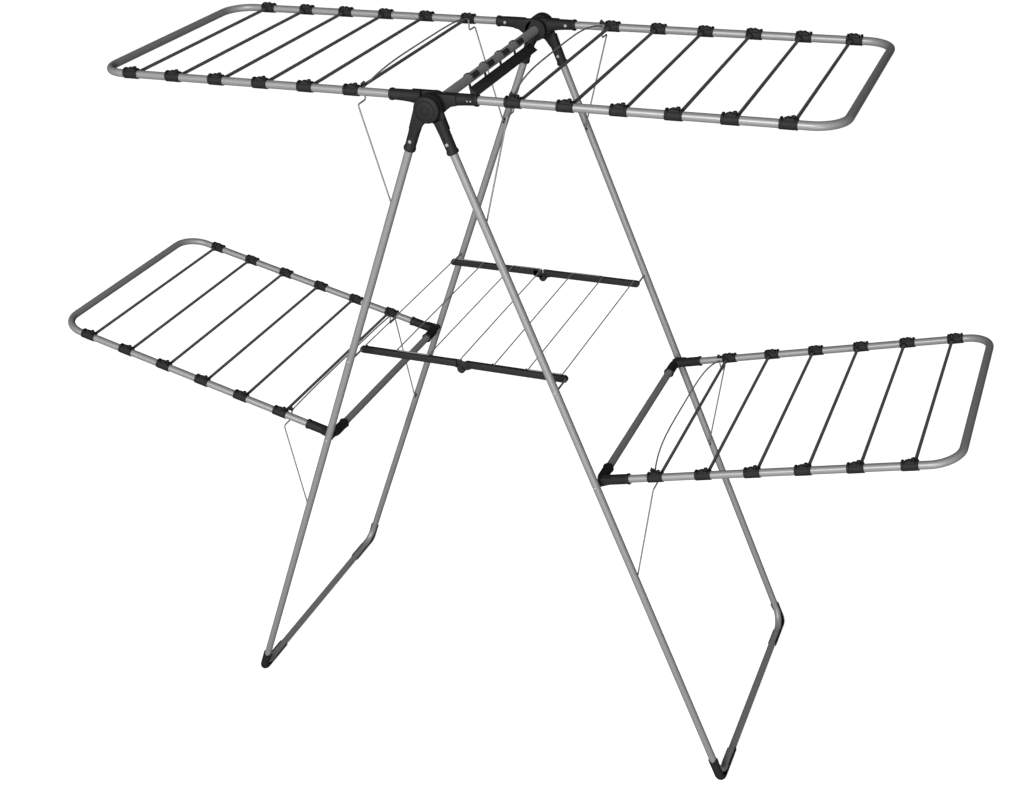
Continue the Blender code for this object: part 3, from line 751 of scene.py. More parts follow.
class RACK_OT_hubs(Operator):
    """Mould the hubs: leg sockets, wing arms, caps and their rivets"""

    bl_idname = "rack.hubs"
    bl_label = "Hubs"

    knuckle_r = 0.021
    knuckle_t = 0.011
    pin_r = 0.004
    disc_steps = 48
    sleeve_sides = 28
    sleeve_gap = 0.0008
    face_lift = 0.0001
    pin_head = (0.0036, 0.0016)
    slot_half = 0.0045
    slot_r = 0.0019
    slot_depth = 0.0008
    socket_rivet = 0.0188
    arm_rivet = 0.0625
    # Distance out, height and radius of the near knuckle's small rivets.
    arm_dots = ((0.0640, 0.0, 0.0016), (0.0700, 0.0, 0.0016), (0.0345, 0.0030, 0.0014))

    def execute(self, context):
        for side in SIDES:
            rivets = {"leg": bmesh.new(), "wing": bmesh.new()}
            for end in ENDS:
                self.leg_socket(side, end, rivets["leg"])
                self.wing_arm(side, end, rivets["wing"])
            self.leg_pins(side, rivets["leg"])
            self.slot_shade_patches(side)
            make_piece(f"leg_rivets_{side}", rivets["leg"], "rail_steel", f"frame_{side}")
            make_piece(f"arm_rivets_{side}", rivets["wing"], "rail_steel", f"wing_upper_{side}")
        return {"FINISHED"}

    def leg_pins(self, side, form):
        """Heads of the pins that the lower wings and the shelf turn on."""
        for sign in ENDS.values():
            for place in (LEG_PIVOT, SHELF_PIVOT):
                head = sided(side, place, sign * (LEG_Y + TUBE_R - CLEAR))
                rivet(form, head, (0.0, sign, 0.0), *self.pin_head)

    def slot_shade_patches(self, side):
        """Black patches on the legs' inner faces, painted shade standing for the dark oblong mouths that
        take the stays' hooks.
        """
        along = LEG_WAY.copy()
        along.x *= SIDES[side]
        square = Vector((-along.z, 0.0, along.x))
        form = bmesh.new()
        for level in LEVELS:
            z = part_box(f"stay_{level}_{side}")[0].z + sizes().wire_radius
            for sign in ENDS.values():
                middle = leg_at(side, z, sign * (LEG_Y - TUBE_R + 2 * CLEAR))
                outline = []
                for half, start in ((self.slot_half, -pi / 2), (-self.slot_half, pi / 2)):
                    place = middle + along * half
                    outline += arc_points(place, self.slot_r, start, start + pi, 8, along, square)
                # A thin black plate where a slot's mouth is: painted shade, with no hole cut in the tube.
                prism(form, outline, (0.0, -sign * self.slot_depth, 0.0))
        make_piece(f"slot_shade_patches_{side}", form, "black_plastic", f"frame_{side}")

    def leg_socket(self, side, end, rivets):
        sign = ENDS[end]
        node = f"leg_socket_{side}_{end}"
        low, high = self.disc_layer(side)
        radius = self.disc_radius()
        out = Vector((0.0, sign, 0.0))
        form = bmesh.new()
        centre = Vector((HUB.x, sign * low, HUB.z))
        if side == "left":
            lathe(form, self.cap_profile(radius, high - low), centre, out, self.disc_steps)
            pin_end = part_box(node)[0 if sign > 0 else 1].y
            pin = [Vector((HUB.x, pin_end, HUB.z)), centre + out * 0.001]
            sweep(form, pin, self.pin_r, 20)
        else:
            lathe(form, plain_profile(radius, high - low), centre, out, self.disc_steps)
        leg = sign * LEG_Y
        end_along = self.socket_end()
        start = radius + self.sleeve_gap
        alongs = [start, start + 0.010, start + 0.024, end_along - COLLAR_LENGTH]
        places = [leg_point(side, along, leg) for along in alongs]
        radii = [(0.0113, 0.0096), (0.0107, 0.0096), (0.0100, 0.0096), (SLEEVE_R, SLEEVE_R)]
        way = (places[-1] - places[0]).normalized()
        bead, bead_radii = collar_path(places[-1], way)
        radii = self.ordered(radii, way)
        sweep(form, places + bead[1:], radii + bead_radii[1:], self.sleeve_sides)
        self.gusset(form, side, sign, low, high, start)
        self.fin(form, side, leg, start, end_along)
        make_piece(f"hub_{node}", form, "black_plastic", f"frame_{side}", [node])
        for face in (sign, -sign):
            y = leg + face * (SLEEVE_R + self.face_lift)
            rivet(rivets, leg_point(side, end_along - self.socket_rivet, y), (0.0, face, 0.0))

    def ordered(self, radii, way):
        """Pairs turned so that each one's first radius is upright on a sleeve that runs this way."""
        first = way.to_track_quat("Z", "Y") @ UPPER_WAY
        lies_across = abs(first.y) > 0.7
        return [pair[::-1] if lies_across else pair for pair in radii]

    def socket_end(self):
        """How far along the leg its socket reaches."""
        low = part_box("leg_socket_right_near")[0]
        bottom = low.z + COLLAR_R * LEG_WAY.x
        foot = HUB.z + LEG_OUT.z * AXIS_OFFSET
        return (foot - bottom) / -LEG_WAY.z

    def disc_layer(self, side):
        """A leg socket's disc runs between these distances from the middle plane."""
        low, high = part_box(f"leg_socket_{side}_far")
        if side == "left":
            return LEG_Y + CLEAR, high.y
        return low.y, LEG_Y - CLEAR

    def disc_radius(self):
        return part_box("leg_socket_left_near")[1].z - HUB.z

    def cap_profile(self, radius, depth):
        """The outer hub cap: a shallow dome with a turned ring, a step and a screw's seat."""
        return [
            (0.0, 0.0),
            (radius - 0.0015, 0.0),
            (radius - 0.0003, 0.0006),
            (radius, 0.0018),
            (radius, depth - 0.0060),
            (radius - 0.0004, depth - 0.0046),
            (radius - 0.0018, depth - 0.0032),
            (radius - 0.0042, depth - 0.0021),
            (radius - 0.0062, depth - 0.0016),
            (radius - 0.0066, depth - 0.0024),
            (radius - 0.0076, depth - 0.0024),
            (radius - 0.0081, depth - 0.0010),
            (0.0110, depth - 0.0002),
            (0.0082, depth),
            (0.0075, depth - 0.0014),
            (0.0058, depth - 0.0014),
            (0.0053, depth - 0.0005),
            (0.0030, depth - 0.0001),
            (0.0, depth),
        ]

    def gusset(self, form, side, sign, low, high, start):
        """The web that spreads from the disc to the sleeve, kept to its own layer of the hub."""
        cover = SLEEVE_R * 0.85
        outline = [
            leg_point(side, 0.004, 0.0, 0.0108),
            leg_point(side, start + 0.020, 0.0, 0.0092),
            leg_point(side, start + 0.020, 0.0, -0.0088),
            leg_point(side, start + 0.006, 0.0, -0.0125),
            leg_point(side, 0.016, 0.0, -0.0190),
        ]
        near = max(low, LEG_Y - cover)
        far = min(high, LEG_Y + cover)
        outline = [Vector((point.x, sign * near, point.z)) for point in outline]
        prism(form, outline, (0.0, sign * (far - near), 0.0), 0.0012)

    def fin(self, form, side, leg, start, end_along):
        """The raised ridge down the middle of a leg socket."""
        for face in (-1, 1):
            y = leg + face * SLEEVE_R * 0.93
            tip = leg + face * (SLEEVE_R + 0.0010)
            root, point = start + 0.004, end_along - 0.026
            corners = ((root, 0.0012), (point, 0.0008), (point, -0.0008), (root, -0.0012))
            ridge = [leg_point(side, along, y, wide) for along, wide in corners]
            prism(form, ridge, (0.0, tip - y, 0.0), 0.0004)

    def wing_arm(self, side, end, rivets):
        sign = ENDS[end]
        node = f"wing_arm_{side}_{end}"
        low = RAIL_Y + CLEAR if side == "right" else RAIL_Y - CLEAR - self.knuckle_t
        out_way = Vector((0.0, sign, 0.0))
        form = bmesh.new()
        centre = Vector((HUB.x, sign * low, HUB.z))
        lathe(form, plain_profile(self.knuckle_r, self.knuckle_t), centre, out_way, 44)
        rail = sign * RAIL_Y
        end_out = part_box("wing_arm_right_near")[1].x
        outs = [self.disc_radius() + self.sleeve_gap, 0.033, 0.044, 0.058, end_out - COLLAR_LENGTH]
        halves = [0.0128, 0.0116, 0.0106, 0.0100, SLEEVE_R]
        top = SLEEVE_R + CLEAR
        places = []
        for out, half in zip(outs, halves):
            places.append(wing_point("upper", side, out, rail, top - half))
        radii = [(half, SLEEVE_R) for half in halves]
        radii = self.ordered(radii, (places[1] - places[0]).normalized())
        bead, bead_radii = collar_path(wing_point("upper", side, outs[-1], rail), sided(side, UPPER_WAY))
        sweep(form, places[:-1] + bead, radii[:-1] + bead_radii, self.sleeve_sides)
        corners = ((0.004, 0.0205), (0.044, 0.0205), (0.044, 0.0020), (0.034, 0.0000))
        corners += ((0.026, -0.0060), (0.0185, -0.0098))
        outline = [Vector((SIDES[side] * x, sign * low, HUB.z + z)) for x, z in corners]
        prism(form, outline, out_way * self.knuckle_t, 0.0012)
        make_piece(f"hub_{node}", form, "black_plastic", f"wing_upper_{side}", [node])
        face = sign * (SLEEVE_R + self.face_lift)
        if side == "right":
            for out, up, radius in self.arm_dots:
                rivet(rivets, wing_point("upper", side, out, rail + face, up), out_way, radius, 0.0007)
        rivet(rivets, wing_point("upper", side, self.arm_rivet, rail - face), -out_way, 0.0032, 0.0012)


# ---------------------------------------------------------------- centre rail and strip


class RACK_OT_rail(Operator):
    """Make the centre rail, its saddles and the strip that hangs under it"""

    bl_idname = "rack.rail"
    bl_label = "Centre rail"

    saddle_places = (-0.080, -0.011, 0.060, 0.129)
    saddle_length = 0.028
    pad_arc = (radians(64), radians(4))
    band_arc = (radians(275), radians(4))
    band_length = 0.0024
    web_length = 0.0060
    strip_tilt = radians(42)
    strip_width = 0.020
    strip_drop = 0.0158

    def execute(self, context):
        self.rail()
        self.strip()
        return {"FINISHED"}

    def rail(self):
        low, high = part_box("centre_rail")
        radius = (high.z - low.z) / 2
        form = bmesh.new()
        ends = [Vector((HUB.x, low.y, HUB.z)), Vector((HUB.x, high.y, HUB.z))]
        sweep(form, ends, radius, 36)
        make_piece("rail_bar", form, "rail_steel", "frame_left", ["centre_rail"])

    def strip(self):
        low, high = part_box("hanger_strip")
        radius = node_size("centre_rail").z / 2
        form = bmesh.new()
        for place in self.saddle_places:
            self.saddle(form, place, radius + CLEAR)
        across = Vector((cos(self.strip_tilt), 0.0, -sin(self.strip_tilt)))
        square = Vector((sin(self.strip_tilt), 0.0, cos(self.strip_tilt)))
        corner = Vector((0.001, low.y, HUB.z - self.strip_drop))
        length = Vector((0.0, high.y - low.y, 0.0))
        half = 0.0013
        outline = [
            corner + square * half,
            corner + across * self.strip_width + square * half,
            corner + across * self.strip_width - square * half,
            corner - square * half,
        ]
        prism(form, outline, length, 0.0005)
        rim = [point + across * 0.0182 for point in (corner + square * half, corner + square * 0.0024)]
        rim += [point + across * 0.0016 for point in reversed(rim)]
        prism(form, rim, length, 0.0003)
        tab = [
            Vector((low.x + 0.0121, low.y, corner.z - 0.002)),
            Vector((corner.x + 0.0148, low.y, corner.z - 0.0135)),
            Vector((corner.x + 0.0148, low.y, low.z + 0.003)),
            Vector((corner.x + 0.0118, low.y, low.z)),
            Vector((corner.x + 0.0030, low.y, low.z)),
            Vector((corner.x, low.y, low.z + 0.003)),
        ]
        prism(form, tab, (0.0, 0.0026, 0.0), 0.0006)
        make_piece("strip_with_saddles", form, "strip_plastic", "frame_left", ["hanger_strip"])

    def saddle(self, form, place, inner):
        """A pad on the rail's upper right, a lipped band round the rail and a web to the strip."""
        start = place - self.saddle_length / 2
        self.shell(form, start, start + self.saddle_length, inner, inner + 0.0013, self.pad_arc)
        self.shell(form, start, start + self.band_length, inner, inner + 0.0022, self.band_arc)
        top = HUB.z - inner * 0.97
        foot = HUB.z - 0.0200
        web = [(-0.0012, top), (0.0012, top), (0.0030, foot), (0.0004, foot)]
        outline = [Vector((x, start, z)) for x, z in web]
        prism(form, outline, (0.0, self.web_length, 0.0), 0.0003)

    def shell(self, form, low, high, inner, outer, arc):
        """A curved plate about the rail between two angles from the rail's right side."""
        middle = Vector((HUB.x, low, HUB.z))
        outline = arc_points(middle, outer, *arc[::-1], 24) + arc_points(middle, inner, *arc, 24)
        prism(form, outline, (0.0, high - low, 0.0), 0.0004, 1)


# ---------------------------------------------------------------- elbows


class RACK_OT_elbows(Operator):
    """Mould the corners of the lower wings"""

    bl_idname = "rack.elbows"
    bl_label = "Elbows"

    out_length = 0.058
    in_length = 0.045
    bend = 0.013
    boss_r = 0.0060
    # Distance out from the corner and height of each point of the ear on the leg's side.
    ear = ((-0.0080, 0.0045), (0.0020, 0.0090), (0.0240, 0.0075), (0.0240, -0.0050), (-0.0020, -0.0095))

    def execute(self, context):
        for side, end in CORNERS:
            self.elbow(side, end)
        return {"FINISHED"}

    def elbow(self, side, end):
        sign = ENDS[end]
        rail = sign * LOWER_Y
        inner = sign * (LOWER_Y - self.in_length)
        form = bmesh.new()
        out_end = wing_point("lower", side, self.out_length, rail)
        corner = wing_point("lower", side, 0.0, rail)
        in_end = wing_point("lower", side, 0.0, inner)
        path = rounded([out_end, corner, in_end], self.bend, 12)
        out_way = (out_end - corner).normalized()
        in_way = (in_end - corner).normalized()
        start = [out_end, out_end, out_end - out_way * 0.0010, out_end - out_way * 0.0060]
        finish = [in_end - in_way * 0.0060, in_end - in_way * 0.0010, in_end, in_end]
        radii = [MOUTH_R, COLLAR_R - 0.0004, COLLAR_R, SLEEVE_R]
        places = start + path[1:-1] + finish
        sleeve = [SLEEVE_R] * (len(path) - 2)
        sweep(form, places, radii + sleeve + radii[::-1], 28)
        boss_start = wing_point("lower", side, 0.0, rail - sign * 0.005)
        boss_end = wing_point("lower", side, 0.0, sign * (LEG_Y - TUBE_R - CLEAR))
        boss = [boss_start, boss_end - Vector((0.0, sign * 0.0005, 0.0)), boss_end]
        sweep(form, boss, [self.boss_r, self.boss_r, self.boss_r - 0.0005], 24)
        flat = rail + sign * 0.0070
        outline = [wing_point("lower", side, out, flat, up) for out, up in self.ear]
        prism(form, outline, (0.0, sign * 0.0028, 0.0), 0.0008)
        node = f"wing_elbow_{side}_{end}"
        make_piece(f"elbow_{side}_{end}", form, "black_plastic", f"wing_lower_{side}", [node])


# ---------------------------------------------------------------- rungs


class RACK_OT_rungs(Operator):
    """Make the rungs and the clips that hold them on the rails"""

    bl_idname = "rack.rungs"
    bl_label = "Rungs"

    count = 6
    shift = 0.006
    skin = 0.0012
    # Profiles of a clip's turned parts: radius, then distance from the rail's axis.
    socket = (
        (0.0, 0.0060),
        (0.0054, 0.0060),
        (0.0056, 0.0095),
        (0.0050, 0.0120),
        (0.0042, 0.0128),
        (0.0, 0.0128),
    )
    post = ((0.0, 0.0060), (0.0040, 0.0060), (0.0038, 0.0122), (0.0030, 0.0131), (0.0, 0.0134))
    bead = ((0.0, 0.0112), (0.0011, 0.0110), (0.0016, 0.0102), (0.0016, 0.0080), (0.0, 0.0080))
    dome = (
        (0.0, 0.0118),
        (0.0011, 0.0118),
        (0.0013, 0.0126),
        (0.0028, 0.0124),
        (0.0041, 0.0114),
        (0.0047, 0.0098),
        (0.0048, 0.0070),
        (0.0, 0.0070),
    )

    def execute(self, context):
        for level in LEVELS:
            for side in SIDES:
                for number in range(1, self.count + 1):
                    self.rung(level, side, number)
        return {"FINISHED"}

    def rung(self, level, side, number):
        node = f"rung_{level}_{side}_{number}"
        out = rung_out(level, number)
        y = WING_Y[level]
        body = f"wing_{level}_{side}"
        form = bmesh.new()
        reach = y - TUBE_R - self.skin
        ends = [wing_point(level, side, out, -reach), wing_point(level, side, out, reach)]
        sweep(form, ends, sizes().bar_radius, 16)
        make_piece(f"bar_{level}_{side}_{number}", form, "bar_steel", body)
        clips = bmesh.new()
        for sign in ENDS.values():
            self.clip(clips, level, side, out, sign * y, sign)
            if number == 1:
                self.wire_lug(clips, level, side, out, sign)
        make_piece(f"clips_{level}_{side}_{number}", clips, "black_plastic", body, [node])

    def clip(self, form, level, side, out, y, sign):
        """A snap-on saddle: a thin sleeve, end ribs, a bridge with a domed boss and a bar socket.

        Its long end points left on the near rail and right on the far one."""
        half = sizes().clip_length / 2
        hand = SIDES[side] * sign
        inner = TUBE_R + CLEAR
        skin = inner + self.skin
        way = sided(side, WING_WAY[level]) * hand
        up = sided(side, WING_UP[level])
        centre = wing_point(level, side, out + hand * self.shift, y)
        sleeve = [
            (inner, -half),
            (skin - 0.0004, -half),
            (skin, -half + 0.0005),
            (skin, half - 0.0005),
            (skin - 0.0004, half),
            (inner, half),
            (inner, -half),
        ]
        lathe(form, sleeve, centre, way, 28)
        ribs = ((-half + 0.0006, 0.0030, 0.0014), (half - 0.0042, 0.0034, 0.0018))
        for start, depth, rise in ribs:
            profile = [(radius, start + height) for radius, height in self.rib_profile(skin, depth)]
            lathe(form, profile, centre + up * rise, way, 28)
        self.bridge(form, centre, way, up, half)
        bar = wing_point(level, side, out, y)
        inward = Vector((0.0, -sign, 0.0))
        lathe(form, self.socket, bar, inward, 20)
        lathe(form, self.post, bar + inward * 0.0030, up, 18)

    def rib_profile(self, skin, depth):
        """A solid disc, so that it closes on itself. It is a little larger than the sleeve."""
        rib_r = skin + 0.0011
        return [
            (0.0, 0.0),
            (rib_r - 0.0005, 0.0),
            (rib_r, 0.0007),
            (rib_r, depth - 0.0007),
            (rib_r - 0.0005, depth),
            (0.0, depth),
        ]

    def bridge(self, form, centre, way, up, half):
        """The raised back of a clip with its domed boss and two beads."""
        across = way.cross(up)
        low, high = -half + 0.0052, half - 0.0062
        corners = ((low, -0.0052), (high, -0.0052), (high, 0.0052), (low, 0.0052))
        outline = [centre + way * along + across * wide + up * 0.0050 for along, wide in corners]
        prism(form, outline, up * 0.0052, 0.0011)
        lathe(form, self.dome, centre + way * 0.0010, up, 22)
        for along in (low + 0.0030, high - 0.0024):
            lathe(form, self.bead, centre + way * along, up, 12)

    def wire_lug(self, form, level, side, out, sign):
        """The pointed fin on an innermost clip beside the stay."""
        y = sign * (WING_Y[level] - TUBE_R - 0.0031)
        edge = (-0.0070, -0.0160, -0.0178, -0.0140, -0.0070)
        rise = (0.0070, 0.0070, 0.0100, 0.0165, 0.0110)
        outline = [wing_point(level, side, out + along, y, up) for along, up in zip(edge, rise)]
        prism(form, outline, (0.0, sign * 0.0026, 0.0), 0.0005)


# ---------------------------------------------------------------- stays


class RACK_OT_stays(Operator):
    """Bend the wire stays"""

    bl_idname = "rack.stays"
    bl_label = "Stays"

    beside_leg = 0.00475
    inside = 0.00525
    wire_bend = 0.0048
    shoulder = 0.004
    crown = 0.022
    lean = 0.008
    arch_steps = 28

    def execute(self, context):
        for level in LEVELS:
            for side in SIDES:
                self.stay(level, side)
        return {"FINISHED"}

    def stay(self, level, side):
        node = f"stay_{level}_{side}"
        wire = sizes().wire_radius
        low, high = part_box(node)
        hinge = joint_place(f"stay_{level}_right")
        start = LEG_PIVOT if level == "lower" else Vector((0.0, 0.0, RAIL_Z))
        out = (hinge - start).dot(WING_WAY[level])
        below = (start - hinge).dot(WING_UP[level])
        hook = leg_at(side, low.z + wire)
        outer = LEG_Y - TUBE_R - self.beside_leg
        inner = RAIL_Y - TUBE_R - self.inside
        half = [
            hook + Vector((0.0, high.y, 0.0)),
            hook + Vector((0.0, outer, 0.0)),
            wing_point(level, side, out, outer, -below),
            wing_point(level, side, out, inner, -below),
            wing_point(level, side, out, inner),
        ]
        legs = rounded(half, self.wire_bend, 7)
        arch = []
        for step in range(self.arch_steps + 1):
            y = inner * (2 * step / self.arch_steps - 1)
            height = 1 - abs(y / inner) ** 4
            up = self.shoulder + (self.crown - self.shoulder) * height
            arch.append(wing_point(level, side, out - self.lean * height, y, up))
        near = [Vector((point.x, -point.y, point.z)) for point in legs]
        form = bmesh.new()
        sweep(form, near + arch + legs[::-1], wire, 12)
        make_piece(f"wire_{level}_{side}", form, "wire_steel", node, [node])


# ---------------------------------------------------------------- shelf


class RACK_OT_shelf(Operator):
    """Make the folding shelf: half bars, knees and laced cords"""

    bl_idname = "rack.shelf"
    bl_label = "Shelf"

    pin_r = 0.0019
    bar_half = 0.0045
    bar_height = 0.013
    knee_gap = 0.009
    cord_pitch = 0.0667
    cord_bend = 0.003
    peg = ((0.0, 0.0022), (0.0012, 0.0021), (0.0017, 0.0015), (0.0017, -0.0012), (0.0, -0.0012))

    def execute(self, context):
        for side in SIDES:
            for end in ENDS:
                self.bar(side, end)
            self.cords(side)
        return {"FINISHED"}

    def bar(self, side, end):
        """A ribbed half bar with a round outer end, a knee leaf and its pin."""
        sign = ENDS[end]
        node = f"shelf_bar_{side}_{end}"
        low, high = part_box(f"shelf_bar_{side}_far")
        top = high.z
        bottom = top - self.bar_height
        middle_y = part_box("shelf_bar_left_far")[0].y + self.bar_half
        outer_x = max(abs(low.x), abs(high.x))
        form = bmesh.new()
        round_r = self.bar_height / 2
        outline = [Vector((self.knee_gap, 0.0, z)) for z in (bottom, top)]
        outline += arc_points((outer_x - round_r, 0.0, SHELF_PIVOT.z), round_r, pi / 2, -pi / 2, 10)
        outline = [sided(side, point, sign * (middle_y - self.bar_half)) for point in outline]
        prism(form, outline, (0.0, sign * 2 * self.bar_half, 0.0), 0.0011)
        outer_y = middle_y + self.bar_half
        ends = (self.knee_gap + 0.006, outer_x - 0.016)
        corners = [(x, bottom + 0.0030) for x in ends] + [(x, bottom + 0.0046) for x in ends[::-1]]
        rib = [sided(side, Vector((x, 0.0, z)), sign * (outer_y - 0.0004)) for x, z in corners]
        prism(form, rib, (0.0, sign * 0.0009, 0.0), 0.0003)
        self.knee(form, side, sign, middle_y, top)
        make_piece(f"half_bar_{side}_{end}", form, "shelf_plastic", f"shelf_{side}", [node])
        pin = sided(side, SHELF_PIVOT, sign * (outer_y - 0.001))
        pin_end = sided(side, SHELF_PIVOT, sign * (LEG_Y - TUBE_R - CLEAR))
        rod = bmesh.new()
        sweep(rod, [pin, pin_end], self.pin_r, 14)
        make_piece(f"shelf_pin_{side}_{end}", rod, "wire_steel", f"shelf_{side}")

    def knee(self, form, side, sign, middle_y, top):
        """A half bar's leaf of the knee: a lap over the middle and a turned disc."""
        gap = 0.0004
        start = middle_y - self.bar_half if side == "left" else middle_y + gap
        thickness = self.bar_half - gap
        corners = ((0.0, KNEE.z), (0.0, top), (0.020, top), (0.020, KNEE.z + 0.003), (0.012, KNEE.z))
        outline = [sided(side, Vector((x, 0.0, z)), sign * start) for x, z in corners]
        prism(form, outline, (0.0, sign * thickness, 0.0), 0.0005)
        edge = 0.0006
        radius = 0.008
        disc = plain_profile(radius, thickness, edge)
        disc[-1:] = [
            (radius * 0.72, thickness),
            (radius * 0.66, thickness - edge),
            (radius * 0.45, thickness - edge),
            (radius * 0.40, thickness),
            (0.0, thickness),
        ]
        lathe(form, disc, (KNEE.x, sign * start, KNEE.z), (0.0, sign, 0.0), 32)

    def cords(self, side):
        """One cord laced to and fro between the bars, with soft turns over their tops."""
        node = f"shelf_line_{side}"
        low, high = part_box(node)
        radius = sizes().cord_radius
        reach = high.y - radius
        count = 4 if side == "left" else 3
        first = (low.x if side == "left" else high.x) - SIDES[side] * radius
        places = [first - SIDES[side] * self.cord_pitch * number for number in range(count)]
        if side == "left":
            places[-1] = high.x - radius
        form = bmesh.new()
        z = (low.z + high.z) / 2
        points = []
        for number, x in enumerate(places):
            sign = SIDES[side] * (-1) ** number
            points += [Vector((x, sign * reach, z)), Vector((x, -sign * reach, z))]
        sweep(form, rounded(points, self.cord_bend, 5), radius, 10)
        make_piece(f"laced_cord_{side}", form, "shelf_cord", f"shelf_{side}", [node])
        self.posts(side, places, reach, z)

    def posts(self, side, places, reach, z):
        """Small pegs on the bars that keep the cord's turns in place."""
        form = bmesh.new()
        for x in places:
            for sign in ENDS.values():
                place = Vector((x - SIDES[side] * 0.0036, sign * (reach - 0.0012), z - 0.0012))
                if abs(place.x) > 0.004:
                    lathe(form, self.peg, place, UP, 14)
        make_piece(f"cord_pegs_{side}", form, "shelf_plastic", f"shelf_{side}")


# ---------------------------------------------------------------- stage


class RACK_OT_stage(Operator):
    """Set the floor, the studio light and the camera"""

    bl_idname = "rack.stage"
    bl_label = "Stage"

    floor_half = 30.0
    floor_glow = 0.85
    grade_half = 1.6
    pale_way = (0.20, -0.92, -0.34)
    # Painted light and shade of the floor as reflections see it: pale in front, dark behind.
    floor_painted_light = ((0.2, (0.46, 0.46, 0.47)), (0.8, (0.10, 0.10, 0.10)))
    room_tones = ((0.40, (0.03, 0.03, 0.032)), (0.85, (0.62, 0.62, 0.63)))
    light_aim = (0.0, 0.0, 0.8)
    camera_place = (1.0361, -2.3250, 2.0779)
    camera_way = (-0.35573, 0.79546, -0.49061)
    camera_up = (-0.14422, 0.47194, 0.86975)
    focal_share = 1.41064
    sensor = 36.0

    def execute(self, context):
        self.floor()
        self.world()
        self.lights()
        self.camera()
        context.scene.view_settings.view_transform = "Standard"
        return {"FINISHED"}

    def floor(self):
        form = bmesh.new()
        bmesh.ops.create_grid(form, x_segments=2, y_segments=2, size=self.floor_half)
        mesh = bpy.data.meshes.new("studio_floor")
        form.to_mesh(mesh)
        form.free()
        material = bpy.data.materials.new("studio_floor")
        material.use_nodes = True
        shader = material.node_tree.nodes["Principled BSDF"]
        shader.inputs["Base Color"].default_value = (0.95, 0.95, 0.95, 1.0)
        shader.inputs["Roughness"].default_value = 1.0
        shader.inputs["Specular IOR Level"].default_value = 0.0
        shader.inputs["Emission Color"].default_value = (1.0, 1.0, 1.0, 1.0)
        shader.inputs["Emission Strength"].default_value = self.floor_glow
        self.dim_to_reflections(material.node_tree, shader)
        mesh.materials.append(material)
        floor = bpy.data.objects.new("studio_floor", mesh)
        bpy.context.scene.collection.objects.link(floor)

    def two_tones(self, tree, factor, low, high):
        """A ramp between two greys, each given as its position and its colour."""
        ramp = tree.nodes.new("ShaderNodeValToRGB")
        for element, (position, colour) in zip(ramp.color_ramp.elements, (low, high)):
            element.position = position
            element.color = (*colour, 1.0)
        tree.links.new(factor, ramp.inputs["Fac"])
        return ramp.outputs["Color"]

    def split_by_eye(self, tree, lit, seen, end):
        """Shows one shader to the camera and another to everything that the light reaches."""
        mix = tree.nodes.new("ShaderNodeMixShader")
        path = tree.nodes.new("ShaderNodeLightPath")
        tree.links.new(path.outputs["Is Camera Ray"], mix.inputs["Fac"])
        tree.links.new(lit.outputs[0], mix.inputs[1])
        tree.links.new(seen.outputs[0], mix.inputs[2])
        tree.links.new(mix.outputs[0], end.inputs["Surface"])

    def dim_to_reflections(self, tree, shader):
        """The floor is white to the eye. What reflects it sees painted light and shade on it: pale in
        front and dark behind.
        """
        grey = tree.nodes.new("ShaderNodeBsdfDiffuse")
        place = tree.nodes.new("ShaderNodeTexCoord")
        split = tree.nodes.new("ShaderNodeSeparateXYZ")
        reach = tree.nodes.new("ShaderNodeMapRange")
        reach.inputs["From Min"].default_value = -self.grade_half
        reach.inputs["From Max"].default_value = self.grade_half
        tree.links.new(place.outputs["Object"], split.inputs[0])
        tree.links.new(split.outputs["Y"], reach.inputs["Value"])
        tone = self.two_tones(tree, reach.outputs["Result"], *self.floor_painted_light)
        tree.links.new(tone, grey.inputs["Color"])
        self.split_by_eye(tree, grey, shader, tree.nodes["Material Output"])

    def world(self):
        """White to the eye, and to what it lights a grey room, pale low in front and dark behind."""
        world = bpy.data.worlds.new("studio_room")
        bpy.context.scene.world = world
        world.use_nodes = True
        tree = world.node_tree
        tree.nodes.clear()
        output = tree.nodes.new("ShaderNodeOutputWorld")
        seen = tree.nodes.new("ShaderNodeBackground")
        seen.inputs["Color"].default_value = (1.0, 1.0, 1.0, 1.0)
        room = tree.nodes.new("ShaderNodeBackground")
        place = tree.nodes.new("ShaderNodeTexCoord")
        facing = tree.nodes.new("ShaderNodeVectorMath")
        facing.operation = "DOT_PRODUCT"
        facing.inputs[1].default_value = self.pale_way
        tree.links.new(place.outputs["Generated"], facing.inputs[0])
        height = math_node(tree, "MULTIPLY_ADD", facing.outputs["Value"], 0.5)
        height.node.inputs[2].default_value = 0.5
        tree.links.new(self.two_tones(tree, height, *self.room_tones), room.inputs["Color"])
        self.split_by_eye(tree, room, seen, output)

    def lights(self):
        self.area("key_softbox", (-0.2, -4.2, 2.9), 1.9, 0.34, 120.0)
        self.area("low_strip", (1.9, -3.5, 0.6), 0.30, 1.2, 26.0)

    def area(self, name, place, width, height, power):
        light = bpy.data.lights.new(name, "AREA")
        light.shape = "RECTANGLE"
        light.size = width
        light.size_y = height
        light.energy = power
        lamp = bpy.data.objects.new(name, light)
        lamp.location = place
        aim = Vector(self.light_aim) - Vector(place)
        lamp.rotation_euler = aim.to_track_quat("-Z", "Y").to_euler()
        lamp.visible_camera = False
        bpy.context.scene.collection.objects.link(lamp)

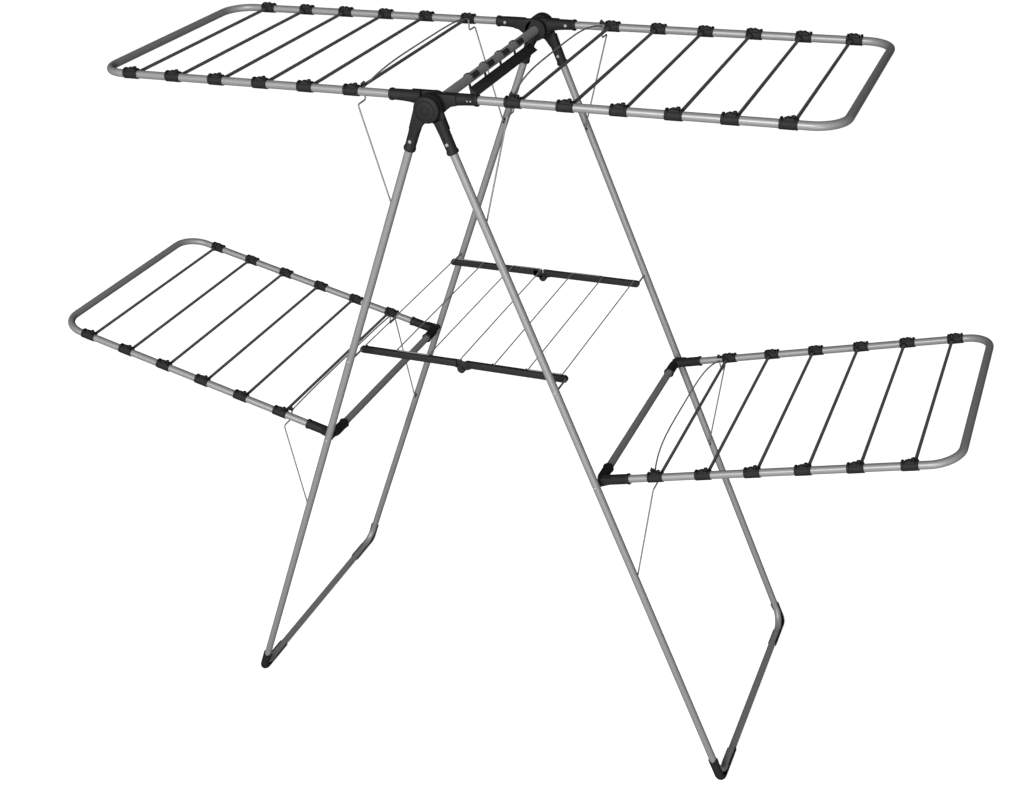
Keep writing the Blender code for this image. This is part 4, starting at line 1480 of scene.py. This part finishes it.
    def camera(self):
        lens = bpy.data.cameras.new("studio_camera")
        lens.sensor_width = self.sensor
        lens.lens = self.sensor * self.focal_share
        lens.clip_end = 100.0
        camera = bpy.data.objects.new("studio_camera", lens)
        back = -Vector(self.camera_way).normalized()
        right = Vector(self.camera_up).cross(back).normalized()
        up = back.cross(right)
        turn = Matrix((right, up, back)).transposed()
        camera.matrix_world = Matrix.Translation(Vector(self.camera_place)) @ turn.to_4x4()
        bpy.context.scene.collection.objects.link(camera)
        bpy.context.scene.camera = camera


# ---------------------------------------------------------------- panel and registration

STEPS = (
    RACK_OT_materials,
    RACK_OT_tubes,
    RACK_OT_feet,
    RACK_OT_hubs,
    RACK_OT_rail,
    RACK_OT_elbows,
    RACK_OT_rungs,
    RACK_OT_stays,
    RACK_OT_shelf,
    RACK_OT_stage,
)


class RACK_PT_panel(Panel):
    """The rack's building steps"""

    bl_idname = "RACK_PT_panel"
    bl_label = "Drying Rack"
    bl_space_type = "VIEW_3D"
    bl_region_type = "UI"
    bl_category = "Drying Rack"

    def draw(self, context):
        for group in (context.scene.rack_sizes, context.scene.rack_colours):
            for name in group.bl_rna.properties.keys():
                if name not in ("rna_type", "name"):
                    self.layout.prop(group, name)
        for step in STEPS:
            self.layout.operator(step.bl_idname)


CLASSES = (RackSizes, RackColours, *STEPS, RACK_PT_panel)


def register():
    for cls in CLASSES:
        bpy.utils.register_class(cls)
    bpy.types.Scene.rack_sizes = PointerProperty(type=RackSizes)
    bpy.types.Scene.rack_colours = PointerProperty(type=RackColours)


def unregister():
    del bpy.types.Scene.rack_colours
    del bpy.types.Scene.rack_sizes
    for cls in reversed(CLASSES):
        bpy.utils.unregister_class(cls)


def main():
    register()
    bpy.ops.rack.materials()
    bpy.ops.rack.tubes()
    bpy.ops.rack.feet()
    bpy.ops.rack.hubs()
    bpy.ops.rack.rail()
    bpy.ops.rack.elbows()
    bpy.ops.rack.rungs()
    bpy.ops.rack.stays()
    bpy.ops.rack.shelf()
    bpy.ops.rack.stage()


if __name__ == "__main__":
    main()
